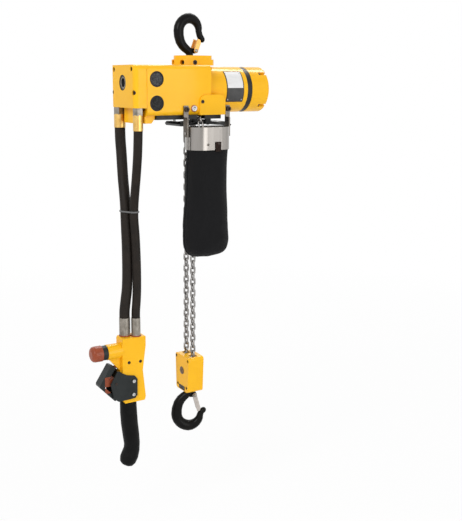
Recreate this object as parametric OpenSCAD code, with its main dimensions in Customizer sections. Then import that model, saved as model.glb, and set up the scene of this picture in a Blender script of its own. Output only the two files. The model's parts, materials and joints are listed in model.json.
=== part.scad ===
// Pneumatic chain hoist on two falls of chain, with top hook, hook block, chain bag and hose pendant.
// Millimetres. +X runs along the body towards the motor, -Y is the front, +Z is up.
// The origin is the seat of the top hook, so the load line is the Z axis.

/* [Suspension] */
// From the seat of the top hook down to the bracket
hang_drop = 60; // [54:1:80]
// Length of the bracket along the body
bracket_len = 80; // [70:1:90]
// Depth of the bracket, front to back
bracket_w = 45; // [40:1:60]
// Height of the bracket
bracket_h = 18.5; // [16:0.5:26]
// How far the bracket's middle sits towards the motor
bracket_shift = 4; // [0:1:8]

/* [Gear housing] */
// Width of the housing, front to back
housing_w = 106; // [100:1:130]
// Height of the housing
housing_h = 93; // [90:1:112]
// From the load line to the valve end of the housing
valve_len = 118; // [100:1:150]
// From the load line to the end of the square part
square_len = 18; // [16:1:24]
// Length of the round gear case
gear_len = 30; // [28:1:44]
// Rounding of the long edges
edge_r = 9; // [3:0.5:14]
// Wall of the valve chamber
wall = 9; // [6:0.5:14]
// Thickness of the pad on the front
pad_t = 4; // [2:0.5:8]

/* [Valve cover] */
// Length of the cover
cover_len = 25.5; // [22:0.5:40]
// Height of the cover
cover_h = 78.5; // [70:0.5:90]
// Tapping radius of the air inlet
inlet_r = 8.33; // [6:0.01:10]
// Length of the inlet's thread
inlet_len = 12; // [8:0.5:14]
// Radius of the exhaust ports on the front
port_r = 14.5; // [10:0.5:17]
// Length of the lower valve block
lower_len = 32; // [26:1:40]
// Height of the lower valve block
lower_h = 14.5; // [8:0.5:24]

/* [Motor] */
// Outside radius of the motor
motor_r = 44.3; // [43.5:0.1:46]
// Length of the motor housing
motor_len = 59.5; // [59.5:0.5:80]
// Wall of the motor housing
motor_wall = 4.3; // [2.5:0.1:5]
// Length of the dark band
band_len = 11; // [8:0.5:18]
// Length of the end cap
cap_len = 40.5; // [38:0.5:56]
// Radius of the rotor
rotor_r = 23.7; // [18:0.1:26]
// Offset of the motor bore from the rotor
bore_offset = 3; // [1:0.1:4]
// Number of vanes
vanes = 5; // [3:1:7]

/* [Gears and sheave] */
// Tooth size of the gears
gear_module = 1.25; // [1:0.01:1.28]
// Teeth of the sun pinion
sun_teeth = 12; // [12:12:12]
// Teeth of each planet
planet_teeth = 24; // [24:12:24]
// Width of the gear faces
face_w = 12; // [8:0.5:14]
// Radius of the sheave's flanges
flange_r = 22; // [21:0.1:24]

/* [Chain] */
// Wire of the chain
wire = 3.9; // [3:0.1:4]
// Pitch of one link
pitch = 12; // [12:0.1:13]
// Inside width of a link
link_w = 5; // [4.4:0.1:5.4]
// Pitches from the sheave to the hook block
falls_links = 48; // [46:2:60]
// Pitches in the lower half of each fall
lower_links = 22; // [12:2:30]

/* [Hooks] */
// Inside radius of the top hook
top_bowl_r = 14; // [12:0.5:18]
// Thickest radius of the top hook
top_body_r = 10; // [8:0.5:11]
// Inside radius of the load hook
load_bowl_r = 16.5; // [14:0.5:20]
// Thickest radius of the load hook
load_body_r = 11.5; // [9:0.5:13]
// From the centre of the load hook up to the block
load_drop = 55; // [52:1:64]
// Radius of both hook tips
tip_r = 6.2; // [5:0.1:7]
// Radius of both hook shanks
shank_r = 7; // [6:0.1:8]
// How far the load hook is turned on its shank
load_turn = -20; // [-90:1:90]

/* [Hook block] */
// Length of the block along X
block_len = 36; // [34:1:50]
// Width of the block at its top
block_top_w = 57; // [56:1:70]
// Width of the block at its bottom
block_low_w = 49; // [48:1:60]
// From the idler up to the block's top
block_rise = 33; // [30:1:44]
// From the idler down to the block's bottom
block_fall = 44; // [42:1:56]
// Radius of the idler axle
axle_r = 5; // [3:0.1:5.4]

/* [Chain bag] */
// Width of the collar
bag_w = 88; // [80:1:110]
// Depth of the collar, front to back
bag_d = 58; // [50:1:60]
// Height of the collar
collar_h = 43; // [30:1:56]
// Height of the bag below the collar
bag_h = 209; // [120:1:230]
// Middle of the bag along X
bag_x = 4.5; // [0:0.5:10]
// From the load line forward to the middle of the bag
bag_reach = 62; // [62:0.5:70]
// Thickness of the fabric
fabric_t = 2; // [1:0.1:3]

/* [Pendant] */
// Thickness of the pendant's body
pendant_t = 30; // [27:0.5:40]
// Length of the pendant along X
pendant_len = 48; // [44:1:60]
// Height of the pendant's body
pendant_h = 136; // [132:1:150]
// Radius of the grip
grip_r = 17.5; // [14:0.5:20]
// Length of the grip
grip_len = 140; // [100:1:160]
// Radius of the stop button
stop_r = 15.9; // [15.5:0.1:18]
// Travel of the stop button
stop_travel = 4; // [2:0.5:5]
// Radius of the large hose
large_hose_r = 10.4; // [8:0.1:11]
// Radius of the small hose
small_hose_r = 8.6; // [5:0.1:8.8]

/* [Clearances] */
// Play of a shaft or pin that turns or slides
run_fit = 0.05; // [0.02:0.01:0.1]
// Play of a piece that is pressed or bolted in place
seat_fit = 0.02; // [0.01:0.01:0.05]
// Gap between pieces that move past each other
gap = 0.4; // [0.3:0.05:0.6]

/* [Hidden] */
$fn = 64;
chamfer = 1;

// Levels and stations of the body
axis_z = -(hang_drop + bracket_h + housing_h / 2);
housing_top = axis_z + housing_h / 2;
housing_low = axis_z - housing_h / 2;
front_y = -housing_w / 2;
motor_x = square_len + gear_len;
band_x = motor_x + motor_len;
cap_x = band_x + band_len;
cap_end = cap_x + cap_len;
cover_x = -valve_len - cover_len;
cover_low = housing_top - cover_h;

// Socket screws: head radius, head height and shank radius
screw_head_r = 4.6;
screw_head_h = 5;
screw_r = 2.6;
screw_sink = 2;
// Slimmer screws of the motor's end cap, sunk deep in notches
cap_head_r = 3.4;
cap_head_h = 4;
cap_shank_r = 2;
cap_sink = 13;
// Screws of the hook block and of the pendant
block_head_r = 3.4;
block_head_h = 4;
block_screw_r = 2;
block_screw_len = block_len - 12;
pendant_head_r = 3.4;
pendant_head_h = 2.4;
pendant_screw_r = 2;
pendant_screw_len = 10;

// Gears
ring_teeth = sun_teeth + 2 * planet_teeth;
planet_ring_r = gear_module * (sun_teeth + planet_teeth) / 2;
pressure_angle = 25;
addendum = 0.9;
dedendum = 1.15;
backlash = 0.15;
ring_out_r = gear_module * (ring_teeth / 2 + dedendum) + 2.1;
gear_case_r = ring_out_r + 4;
planet_pin_r = 4;
planet_angles = [90, 210, 330];

// Sheave and its bearings
sheave_half = 11.5;
bearing_w = 8;
bearing_side = 0.6;
drum_r = flange_r + 3;
drum_shaft_r = 12.4;
seat_x = sheave_half + bearing_side + bearing_w + 0.2;
carrier_x = seat_x + 1.2;
carrier_t = 5.7;
carrier_r = planet_ring_r + planet_pin_r + 3;
gear_x = carrier_x + carrier_t + 0.8;

// Chain
pockets = 4;
link_turn = 180 / pockets;
link_play = 0.1;
link_bend = (link_w + wire) / 2;
link_straight = (pitch + link_play - link_w) / 2;
link_half_w = link_w / 2 + wire;
// Flat links and standing links alternate as chords of one circle round a sheave
flat_chord = (pitch + link_play + wire) / 2;
stand_chord = (pitch - wire) / 2;
flat_angle = atan(sin(link_turn) * flat_chord / (stand_chord + cos(link_turn) * flat_chord));
wrap_r = flat_chord / sin(flat_angle);
strand_y = wrap_r * cos(flat_angle);
stand_r = wrap_r * cos(link_turn - flat_angle);
link_over = flat_chord - pitch / 2;
slot_half = link_half_w + 2.6;
slack_tilt = link_turn / 2;
slack_links = 8;
slack_tail = 2;
// Links of the slack end that still lie on the sheave
slack_led = 2;
// Last link of each upper run
upper_last = falls_links - lower_links;
chain_stop_r = link_half_w + 2;
slack_way = -[sin(slack_tilt), cos(slack_tilt)];
slack_start = [-strand_y, axis_z + flat_chord] + link_over * slack_way;
slack_end = slack_start + (slack_links * pitch - link_over) * slack_way - [0, link_over];

// Chain guide, dead-end anchor and limit lever
guide_t = 8;
guide_low = housing_low - guide_t;
guide_w = housing_w - 16;
guide_x0 = lower_len - valve_len - 9;
guide_x1 = 45;
anchor_r = 1.9;
dead_first = 2 * ceil((housing_h / 2 + guide_t - pitch) / (2 * pitch)) + 1;
anchor_z = axis_z - pitch * dead_first + (pitch + link_play) / 2 - anchor_r - link_play;
anchor_half = 9;
lever_x = 22;
lever_z = guide_low - 6;
lever_half = 31;
// Side view of the limit lever round its pin
lever_outline = [[-61, -4], [-57, 0], [-46, 0], [-36, -2], [-12, 0], [0, 4], [12, 0], [28, -2], [38, 0],
    [46, -2],
    [56, -7], [53, -10], [40, -9], [30, -6], [12, -5], [-12, -5], [-36, -6], [-44, -8], [-58, -8]];
// Room for both falls inside the lever
lever_rim = 5;
lever_bay = [-16 - lever_x, -6];
lever_pin_r = 3;
lug_t = 4;
spool_x = -34;
spool_r = 5;
spool_stem_r = 2.5;
spool_top = axis_z + 13;
spool_bore_top = spool_top + 7;

// Rotor, bearings and brake
rotor_shaft_r = 6;
pinion_shaft_r = 3.5;
rotor_bearing_r = 13;
rotor_bearing_w = 6;
plate_t = 7;
end_flange = 5.5;
flange_bore_r = 34;
liner_r = motor_r - motor_wall - seat_fit;
liner_x0 = motor_x + plate_t;
liner_x1 = band_x - end_flange - plate_t;
rotor_x0 = liner_x0 + 0.3;
rotor_x1 = liner_x1 - 0.3;
vane_t = 3;
vane_root_r = 12;
brake_r = 32;
brake_disc_t = 3;
piston_r = 34;
piston_t = 5.6;
spigot_r = 10.9;
spigot_len = 18.5;
cap_wall = 9;
cap_floor = 10.5;
piston_x = cap_x + 2 * gap + brake_disc_t;

// Hook block
block_z = axis_z - pitch * falls_links;
block_top = block_z + block_rise;
block_low = block_z - block_fall;
idler_r = strand_y + 5;
idler_half = 9.5;

// Hooks: where the tip ends beside and below the bowl, the angle where the bowl ends
hook_sides = 18;
top_tip = [7, -15];
top_last = 0;
load_tip = [7, -5];
load_last = 12;
// Latches: from the end of the tip to the end of the latch, then the sizes at the pin
top_rest = [9.2, 1];
load_rest = [10.1, 1.9];
latch_side = shank_r + 3;
latch_pin_r = 2.5;
latch_w = 18;
latch_half_t = 1.3;
lug_w = 8;
lug_r = 5;
latch_root = lug_r + 1.8;
cheek_r = 4.4;
// The cheeks of a latch stand clear of the tip on both sides
cheek_in = tip_r + 0.6;
top_pivot = hang_drop - top_bowl_r - 9;
load_pivot = load_drop - 13;
load_hook_z = block_low - load_drop;

// Chain bag and its hangers
collar_t = 1.5;
collar_top = housing_low - 21.5;
collar_low = collar_top - collar_h;
bag_low = collar_low - bag_h;
bag_pin_z = collar_top - 12;
bag_pin_r = 3;
hanger_t = 3;
hanger_w = 10;
hanger_screw_z = housing_low + 11;
left_hanger_x = bag_x - bag_w / 2 - gap - hanger_t;
right_hanger_x = max(bag_x + bag_w / 2, motor_x) + gap;
hanger_places = [left_hanger_x, right_hanger_x];

// Hose outlets under the cover and bends of both hoses below them
outlet_x = -valve_len - cover_len / 2 - 0.25;
large_outlet = [outlet_x, 43];
small_outlet = [outlet_x, -39];
large_outlet_low = cover_low - 39;
small_outlet_low = cover_low - 42;
large_bends = [
    [0, 43, -39], [0.5, 43, -63], [1, 40.5, -88], [0, 35.5, -113], [-2, 28, -138], [-3.5, 20, -163],
    [-5, 13, -188], [-6, 9.5, -213], [-6, 8, -238], [-5.5, 7.5, -263], [-5.5, 7, -293], [-6, 6.5, -323],
    [-7.5, 6.2, -353], [-11, 6, -378], [-13.5, 6, -397], [-14, 6, -411.6]];
small_bends = [
    [0, -39, -42], [-0.5, -38.5, -65], [-0.5, -36, -89], [0, -31, -113], [1, -24, -138], [2, -16.5, -163],
    [3, -10, -188], [3.5, -8, -213], [5, -8.5, -238], [6.5, -8, -263], [7.5, -7.8, -293], [8, -7.5, -323],
    [8, -7, -353], [7, -6.3, -378], [5.5, -6, -397], [5, -6, -411.6]];
large_route = [for (p = large_bends) p + [outlet_x, 0, cover_low]];
small_route = [for (p = small_bends) p + [outlet_x, 0, cover_low]];

// Pendant
pendant_x = outlet_x - 3;
pendant_top = cover_low - 450;
fitting_h = 38;
fitting_nut_h = 15;
fitting_top = pendant_top + fitting_h;
fitting_spots = [for (bends = [large_bends, small_bends]) let (p = bends[len(bends) - 1]) [outlet_x + p[0],
    p[1]]];
// Levels on the pendant follow its height, given here for one of 136
pendant_k = pendant_h / 136;
stop_z = -27;
stop_stub_r = 15.5;
stop_stub_x = -55;
stop_ring_r = 14.6;
stop_ring_len = 11;
stop_overlap = 5;
stop_stem_r = 6;
stop_stem_len = 25;
stop_stem_end = stop_stub_x + stop_stem_len;
stop_knob_len = 22;
trigger_pivot = [-42, -90 * pendant_k];
trigger_pin_r = 3;
trigger_boss_r = 7;
trigger_w = 22;
trigger_round = 1.2;
trigger_outline = levelled([[-50, -53], [-74, -90], [-74, -95], [-43, -128], [-38, -127], [-40, -121],
    [-63, -97], [-63, -92], [-41.5, -61], [-44, -55]]);
// Web of the trigger between its bend and its pin: first and last level
trigger_web_x = -65;
trigger_web = [-95, -80] * pendant_k;
pad_len = 8;
pad_half = 3;
plunger_r = 3;
plunger_arm = 30 * pendant_k;
plunger_bore = [-60, 14 - pendant_len / 2];
plunger_face = [-40, -37];
plunger_end = -pendant_len / 2 + 8;
plunger_gap = 0.8;
cheek_t = 3;
guard_round = 2;
guard_outline = levelled([[-38, -63], [-28, -70], [-18, -76], [-1, -79.5], [4.5, -87], [4, -121], [-1, -127],
    [-37, -128.5], [-47, -121], [-54, -90]]);
// Screws of the body's face and of the guard plates
body_screw_spots = levelled([[-12, -51], [13, -52]]);
guard_screw_spots = levelled([[-4, -90], [-5, -118]]);
// Web under the stop button's stub
stub_web = levelled([[-50, -36], [-50, -42], [-28, -68], [-26, -71], [-24, -71], [-24, -36]]);
stub_web_half = 6;

// Bracket, spigot and screw lengths
nut_r = 12.5;
nut_h = 6.5;
spigot_h = 9.5;
spigot_in_r = nut_r + 0.5;
spigot_out_r = spigot_in_r + 2.5;
bracket_flange = 11;
bracket_inset = 4.5;
bracket_nose = [12, 16.5];
bracket_corner = 5;
bracket_angles = [90, 145, 180, 215, 270];
bracket_x0 = bracket_shift - bracket_len / 2;
bracket_x1 = bracket_shift + bracket_len / 2;
bracket_seat_r = spigot_out_r + 1.8;
bracket_screw_z = 5.4;
bracket_screw_len = bracket_seat_r - spigot_in_r - 0.3;
cover_screw_len = cover_len + 4;
cap_step = 2;
cap_screw_r = motor_r - 4;
cap_screw_len = cap_len - cap_step - cap_sink - cap_head_h + band_len + 5;
guide_screw_len = 9;
hanger_screw_len = 9;

// Chamber, ports and pad of the housing, openings of the cover
port_x = 20 - valve_len;
port_spots = [axis_z + 20.5, axis_z - 23.5];
slack_front = slack_start[0] - (slack_start[1] - housing_low) * tan(slack_tilt) - slot_half;
chamber_half = housing_w / 2 - wall - 3.5;
chamber_x = spool_x - spool_r - 7;
pad_x = -8;
pad_h = 38;
pad_r = 14;
cover_r = 10;
inlet_z = axis_z + 14;
outlet_r = 7;
outlet_depth = 10;
spool_foot = lever_z + 0.6;

// Lower valve block: front and back of its narrow part, half width of the rest
lower_x = -valve_len - 10;
lower_y = [-28, 29];
lower_half = 40;

// Nuts and ends of the hook shanks
nut_z = housing_top + spigot_h - gap - nut_h;
shank_low = block_low + 7 + gap + nut_h;

// Shared shapes

function unit(v) = v / norm(v);
function lerp(a, b, t) = a + (b - a) * t;

// Points of the pendant at levels that follow its height
function levelled(points) = [for (p = points) [p[0], p[1] * pendant_k]];

// Skin over rings of points, with both ends closed
module skin(rings) {
    n = len(rings[0]);
    m = len(rings);
    points = [for (ring = rings) for (p = ring) p];
    sides = [for (i = [0 : m - 2]) for (j = [0 : n - 1]) let (k = (j + 1) % n)
        each [[i * n + j, (i + 1) * n + j, i * n + k], [i * n + k, (i + 1) * n + j, (i + 1) * n + k]]];
    ends = [[for (j = [0 : n - 1]) j], [for (j = [n - 1 : -1 : 0]) (m - 1) * n + j]];
    polyhedron(points, concat(sides, ends), convexity = 6);
}

// Ring of points round a direction
function ring_at(p, along, r, sides) =
    let (u = unit(cross(along, [0, 1, 0])), v = cross(along, u))
    [for (j = [0 : sides - 1]) p + r * (cos(360 * j / sides) * u + sin(360 * j / sides) * v)];

// Direction of a route at one of its points
function heading(route, i) =
    unit(route[min(i + 1, len(route) - 1)] - route[max(i - 1, 0)]);

// Tube along a route, square to the first and last stretch
module tube(route, r, sides = 12)
    skin([for (i = [0 : len(route) - 1])
        ring_at(route[i], i == 0 || i == len(route) - 1 ? [0, 0, -1] : heading(route, i), r, sides)]);

module box(low, high) translate(low) cube(high - low);

module rounded(size, r) offset(r) square([size[0] - 2 * r, size[1] - 2 * r], center = true);

// Cylinder along X on the drive axis
module xcyl(r, x0, x1, z = axis_z) translate([x0, 0, z]) rotate([0, 90, 0]) cylinder(r = r, h = x1 - x0);

module xring(r_out, r_in, x0, x1, z = axis_z)
    difference() {
        xcyl(r_out, x0, x1, z);
        xcyl(r_in, x0 - 1, x1 + 1, z);
    }

// Cylinder along Y between two levels of Y
module ycyl(r, x, z, y0, y1) translate([x, y0, z]) rotate([-90, 0, 0]) cylinder(r = r, h = y1 - y0);

// Shape drawn in X and Z, extruded along Y
module along_y(y0, y1) translate([0, y1, 0]) rotate([90, 0, 0]) linear_extrude(y1 - y0) children();

// Shape drawn in Y and Z, extruded along X
module along_x(x0, x1) translate([x0, 0, 0]) rotate([90, 0, 90]) linear_extrude(x1 - x0) children();

// Socket screw, head up, with the top of its head at the origin
module socket_screw(length, head_r = screw_head_r, head_h = screw_head_h, r = screw_r) {
    difference() {
        union() {
            translate([0, 0, -head_h]) cylinder(r = head_r, h = head_h);
            translate([0, 0, -head_h - length]) cylinder(r = r, h = length + 1);
        }
        translate([0, 0, -head_h / 2]) cylinder(r = head_r * 0.55, h = head_h, $fn = 6);
    }
}

// Room for a socket screw, from the surface down
module screw_room(length, head_r = screw_head_r, head_h = screw_head_h, r = screw_r) {
    translate([0, 0, -head_h]) cylinder(r = head_r + seat_fit, h = head_h + 20);
    translate([0, 0, -head_h - length - seat_fit]) cylinder(r = r + seat_fit, h = length + 2 * seat_fit + 1);
}

// Room for a socket screw at a rim: open outwards along Y
module screw_notch(length, head_r, head_h, r) {
    side = head_r + gap;
    box([-side, -side, -head_h], [side, 20, 40]);
    translate([0, 0, -head_h - length - seat_fit]) cylinder(r = r + seat_fit, h = length + 1);
}

// Places of the screws on the body: each turns a screw that points down into its own place
module bracket_places()
    for (a = bracket_angles)
        rotate([0, 0, a]) translate([bracket_seat_r + screw_head_h, 0, housing_top + bracket_screw_z])
            rotate([0, 90, 0]) children();

module cover_places()
    for (s = [-1, 1], spot = [[39, housing_top - 8], [46, axis_z - 4]])
        translate([cover_x + screw_sink, s * spot[0], spot[1]]) rotate([0, -90, 0]) children();

module cap_places()
    for (a = [45 : 90 : 315])
        translate([cap_end - cap_step - cap_sink, 0, axis_z]) rotate([a, 0, 0])
            translate([0, cap_screw_r, 0]) rotate([0, 90, 0]) children();

module hanger_screw_places()
    for (x = hanger_places)
        translate([x + hanger_w / 2, front_y - hanger_t - screw_head_h, hanger_screw_z]) rotate([90, 0, 0])
            children();

module guide_places()
    for (s = [-1, 1], spot = [[guide_x0 + 8, 36], [14, 38]])
        translate([spot[0], s * spot[1], guide_low]) rotate([180, 0, 0]) children();

// Body of the hoist

module gear_housing() color("gold")
    difference() {
        union() {
            along_x(-valve_len, square_len) translate([0, axis_z]) rounded([housing_w, housing_h], edge_r);
            xcyl(gear_case_r, 0, motor_x);
            intersection() {
                along_y(front_y - pad_t, -20)
                    translate([(pad_x + motor_x) / 2, housing_low])
                        rounded([motor_x - pad_x, 2 * pad_h], pad_r);
                box([pad_x - 1, front_y - pad_t - 1, housing_low], [motor_x, 0, axis_z]);
            }
            translate([0, 0, housing_top - 1]) cylinder(r = spigot_out_r, h = spigot_h + 1 - seat_fit);
        }
        translate([0, 0, housing_top]) cylinder(r = spigot_in_r, h = spigot_h);
        xcyl(drum_r + seat_fit, -seat_x, seat_x + 1);
        xcyl(ring_out_r + seat_fit, seat_x, motor_x + 1);
        box([-slot_half, slack_front, housing_low - 1], [slot_half, strand_y + slot_half, axis_z - 3]);
        box([-valve_len - 1, -chamber_half, housing_low + wall],
            [chamber_x, chamber_half, housing_top - wall - 6]);
        translate([spool_x, 0, housing_low - 1])
            cylinder(r = spool_r + run_fit, h = spool_bore_top - housing_low + 1);
        for (z = port_spots) ycyl(port_r, port_x, z, front_y - 1, 1 - chamber_half);
        cover_places() screw_room(cover_screw_len);
        bracket_places() screw_room(bracket_screw_len);
        hanger_screw_places() screw_room(hanger_screw_len);
        guide_places() screw_room(guide_screw_len);
    }

module valve_cover() color("gold")
    difference() {
        intersection() {
            translate([0, 0, cover_low]) linear_extrude(cover_h)
                intersection() {
                    translate([-valve_len, 0]) rounded([2 * cover_len, housing_w], cover_r);
                    translate([cover_x - 1, -housing_w]) square([cover_len + 1, 2 * housing_w]);
                }
            along_x(cover_x, -valve_len)
                translate([0, housing_top - cover_h]) rounded([housing_w, 2 * cover_h], edge_r);
        }
        difference() {
            box([-valve_len - chamfer, -housing_w, cover_low - 1],
                [-valve_len + 1, housing_w, housing_top + 1]);
            box([-valve_len - 2, chamfer - housing_w / 2, cover_low + chamfer],
                [-valve_len + 2, housing_w / 2 - chamfer, housing_top - chamfer]);
        }
        box([cover_x + inlet_len + 2, -30, cover_low + 14], [-valve_len + 1, 30, housing_top - 18]);
        xcyl(inlet_r, cover_x - 1, -valve_len, inlet_z);
        xcyl(port_r, cover_x - 1, cover_x + 2, inlet_z);
        for (spot = [large_outlet, small_outlet])
            translate([spot[0], spot[1], cover_low - 1]) cylinder(r = outlet_r + seat_fit,
                h = outlet_depth + 1);
        cover_places() screw_room(cover_screw_len);
    }

module valve_block() color("gold") {
    x1 = lower_x + lower_len;
    low = housing_low - lower_h;
    along_y(-lower_half, lower_half)
        polygon([[-valve_len, housing_low], [-valve_len, low], [x1 - 7, low], [x1, low + 9],
            [x1, housing_low]]);
    box([lower_x, lower_y[0], low], [-valve_len, lower_y[1], cover_low]);
    box([lower_x, lower_y[0], low], [1 - valve_len, lower_y[1], housing_low]);
}

module motor_housing() color("gold")
    difference() {
        union() {
            xcyl(motor_r, motor_x, band_x);
            box([right_hanger_x, front_y, hanger_screw_z - 8],
                [right_hanger_x + hanger_w + 1, -25, hanger_screw_z + 8]);
        }
        xcyl(motor_r - motor_wall, motor_x - 1, band_x - end_flange);
        xcyl(flange_bore_r, motor_x - 1, band_x + 1);
        cap_places() screw_room(cap_screw_len, cap_head_r, cap_head_h, cap_shank_r);
        hanger_screw_places() screw_room(hanger_screw_len);
    }

module motor_band() color("black")
    difference() {
        xring(motor_r - 0.5, 30, band_x, cap_x);
        cap_places() screw_room(cap_screw_len, cap_head_r, cap_head_h, cap_shank_r);
    }

// Ring turned about the drive axis from points of station along X and radius
module turned(points) translate([0, 0, axis_z]) rotate([0, 90, 0]) rotate([0, 0, 90])
    rotate_extrude() polygon([for (p = points) [p[1], p[0]]]);

module motor_end_cap() color("gold")
    difference() {
        union() {
            xcyl(motor_r, cap_x, cap_end - cap_step);
            xcyl(motor_r - 2.5, cap_end - cap_step - 1, cap_end);
        }
        xring(motor_r - cap_wall, spigot_r, cap_x - 1, cap_end - cap_floor);
        xcyl(spigot_r + 1, cap_x - 1, cap_end - cap_floor - spigot_len);
        cap_places() screw_notch(cap_screw_len, cap_head_r, cap_head_h, cap_shank_r);
    }

// Plan of the bracket, drawn in at both ends by some inset
module bracket_plan(inset) {
    x0 = bracket_x0 + inset;
    x1 = bracket_x1 - inset;
    y = bracket_w / 2;
    n = bracket_nose;
    c = bracket_corner;
    polygon([[x0, n[1] - y], [x0 + n[0], -y], [x1 - c, -y], [x1, c - y], [x1, y - c], [x1 - c, y],
        [x0 + n[0], y], [x0, y - n[1]]]);
}

module suspension_bracket() color("gold")
    difference() {
        translate([0, 0, housing_top]) {
            linear_extrude(bracket_flange) bracket_plan(0);
            linear_extrude(bracket_h) bracket_plan(bracket_inset);
        }
        translate([0, 0, housing_top - 1]) cylinder(r = spigot_out_r + seat_fit, h = spigot_h + 1);
        translate([0, 0, housing_top]) cylinder(r = shank_r + 2 * run_fit, h = bracket_h + 1);
        bracket_places() screw_room(bracket_screw_len);
        xcyl(gear_case_r + gap, -1, motor_x + 1);
    }

module housing_screws() color("dimgray") {
    bracket_places() socket_screw(bracket_screw_len);
    cover_places() socket_screw(cover_screw_len);
    cap_places() socket_screw(cap_screw_len, cap_head_r, cap_head_h, cap_shank_r);
    hanger_screw_places() socket_screw(hanger_screw_len);
    guide_places() socket_screw(guide_screw_len);
}

module exhaust_silencers() color("dimgray")
    for (z = port_spots) ycyl(port_r - seat_fit, port_x, z, front_y + 2, front_y + 10);

// Chain guide and limit lever

module chain_guide() color("black")
    difference() {
        union() {
            box([guide_x0, -guide_w / 2, guide_low], [guide_x1, guide_w / 2, housing_low]);
            box([-8, -strand_y - anchor_half, anchor_z - 5], [8, -strand_y + anchor_half, housing_low]);
            for (y = [-lever_half - gap - lug_t, lever_half + gap]) along_y(y, y + lug_t)
                union() {
                    translate([lever_x, lever_z]) circle(r = lever_pin_r + 3);
                    translate([lever_x - lever_pin_r - 3, lever_z]) square([2 * lever_pin_r + 6, 8]);
                }
        }
        box([-slot_half, slack_front - 3, guide_low - 1],
            [slot_half, slack_front + 2 * slot_half, housing_low + 1]);
        box([-slot_half, strand_y - slot_half, guide_low - 1],
            [slot_half, strand_y + slot_half, housing_low + 1]);
        box([-wire / 2 - 0.6, -strand_y - link_half_w - 0.6, anchor_z - 6],
            [wire / 2 + 0.6, -strand_y + link_half_w + 0.6, housing_low + 1]);
        xanchor(anchor_r + seat_fit, 9);
        ycyl(lever_pin_r + run_fit, lever_x, lever_z, -housing_w, housing_w);
        translate([spool_x, 0, guide_low - 1]) cylinder(r = spool_stem_r + gap, h = guide_t + 2);
        xcyl(gear_case_r + gap, -1, motor_x + 1);
        guide_places() screw_room(guide_screw_len);
    }

// Cylinder along X through the top link of the dead end
module xanchor(r, half) translate([-half, -strand_y, anchor_z]) rotate([0, 90, 0]) cylinder(r = r,
    h = 2 * half);

module anchor_pin() color("silver") xanchor(anchor_r, 8);

module limit_lever() color("black")
    translate([lever_x, 0, lever_z])
        difference() {
            union() {
                along_y(-lever_half, lever_half) polygon(lever_outline);
                ycyl(lever_pin_r, 0, 0, -lever_half - gap - lug_t, lever_half + gap + lug_t);
            }
            box([lever_bay[0], lever_rim - lever_half, -20], [lever_bay[1], lever_half - lever_rim, 20]);
        }

module valve_spool() color("silver")
    translate([spool_x, 0, 0]) {
        lands = [spool_top - 8, spool_top - 26, spool_top - 44];
        translate([0, 0, spool_foot]) cylinder(r = spool_stem_r, h = spool_top - 1 - spool_foot);
        for (z = lands) translate([0, 0, z]) cylinder(r = spool_r, h = 8);
    }

// Helical spring along Z
module spring(r, wire_r, turns, height) {
    steps = turns * 12;
    skin([for (i = [0 : steps]) let (a = 30 * i, rise = height / turns / (2 * PI * r))
        ring_at([r * cos(a), r * sin(a), i * height / steps], unit([-sin(a), cos(a) + 0.001, rise]),
            wire_r, 6)]);
}

module valve_spring() color("silver")
    translate([spool_x, 0, spool_top + 0.8]) spring(spool_r - 1.4, 0.5, 4, spool_bore_top - spool_top - 1.6);

// Gears

// Involute gear outline, a tooth on the first axis
function involute(a) = tan(a) * 180 / PI - a;
function half_tooth(r, teeth, play) =
    let (pitch_r = gear_module * teeth / 2, base_r = pitch_r * cos(pressure_angle))
    90 / teeth - play * 90 / PI / pitch_r + involute(pressure_angle) - involute(acos(min(1, base_r / r)));
function polar(r, a) = r * [cos(a), sin(a)];
function gear_points(teeth, tip, root, play) =
    let (pitch_r = gear_module * teeth / 2, low_r = pitch_r - root * gear_module,
        top_r = pitch_r + tip * gear_module,
        flank_r = max(pitch_r * cos(pressure_angle), low_r + 0.2), radii = [flank_r, pitch_r, top_r])
    [for (k = [0 : teeth - 1]) let (a = 360 * k / teeth)
        each concat([polar(low_r, a - half_tooth(flank_r, teeth, play))],
            [for (r = radii) polar(r, a - half_tooth(r, teeth, play))],
            [for (i = [2 : -1 : 0]) polar(radii[i], a + half_tooth(radii[i], teeth, play))],
            [polar(low_r, a + half_tooth(flank_r, teeth, play))])];

module ring_gear() color("silver")
    difference() {
        xcyl(ring_out_r, gear_x, gear_x + face_w);
        along_x(gear_x - 1, gear_x + face_w + 1) translate([0, axis_z]) rotate(180 / ring_teeth)
            polygon(gear_points(ring_teeth, dedendum, addendum, -backlash));
    }

module planet(a) color("silver")
    along_x(gear_x + 0.5, gear_x + face_w - 0.5)
        translate([0, axis_z]) translate(polar(planet_ring_r, a))
            difference() {
                rotate(a + 180 + 180 / planet_teeth) polygon(gear_points(planet_teeth, addendum, dedendum,
                    backlash));
                circle(r = planet_pin_r + run_fit);
            }

module planet_gear_1() planet(planet_angles[0]);
module planet_gear_2() planet(planet_angles[1]);
module planet_gear_3() planet(planet_angles[2]);

module sun_pinion() color("silver")
    difference() {
        along_x(gear_x, gear_x + face_w) translate([0, axis_z]) rotate(planet_angles[0])
            polygon(gear_points(sun_teeth, addendum, dedendum, backlash));
        xcyl(pinion_shaft_r + seat_fit, gear_x - 1, gear_x + face_w + 1);
    }

module planet_carrier() color("dimgray") {
    xcyl(carrier_r, carrier_x, carrier_x + carrier_t);
    for (a = planet_angles)
        along_x(carrier_x + 1, gear_x + face_w - 1)
            translate([0, axis_z]) translate(polar(planet_ring_r, a)) circle(r = planet_pin_r);
}

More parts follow.
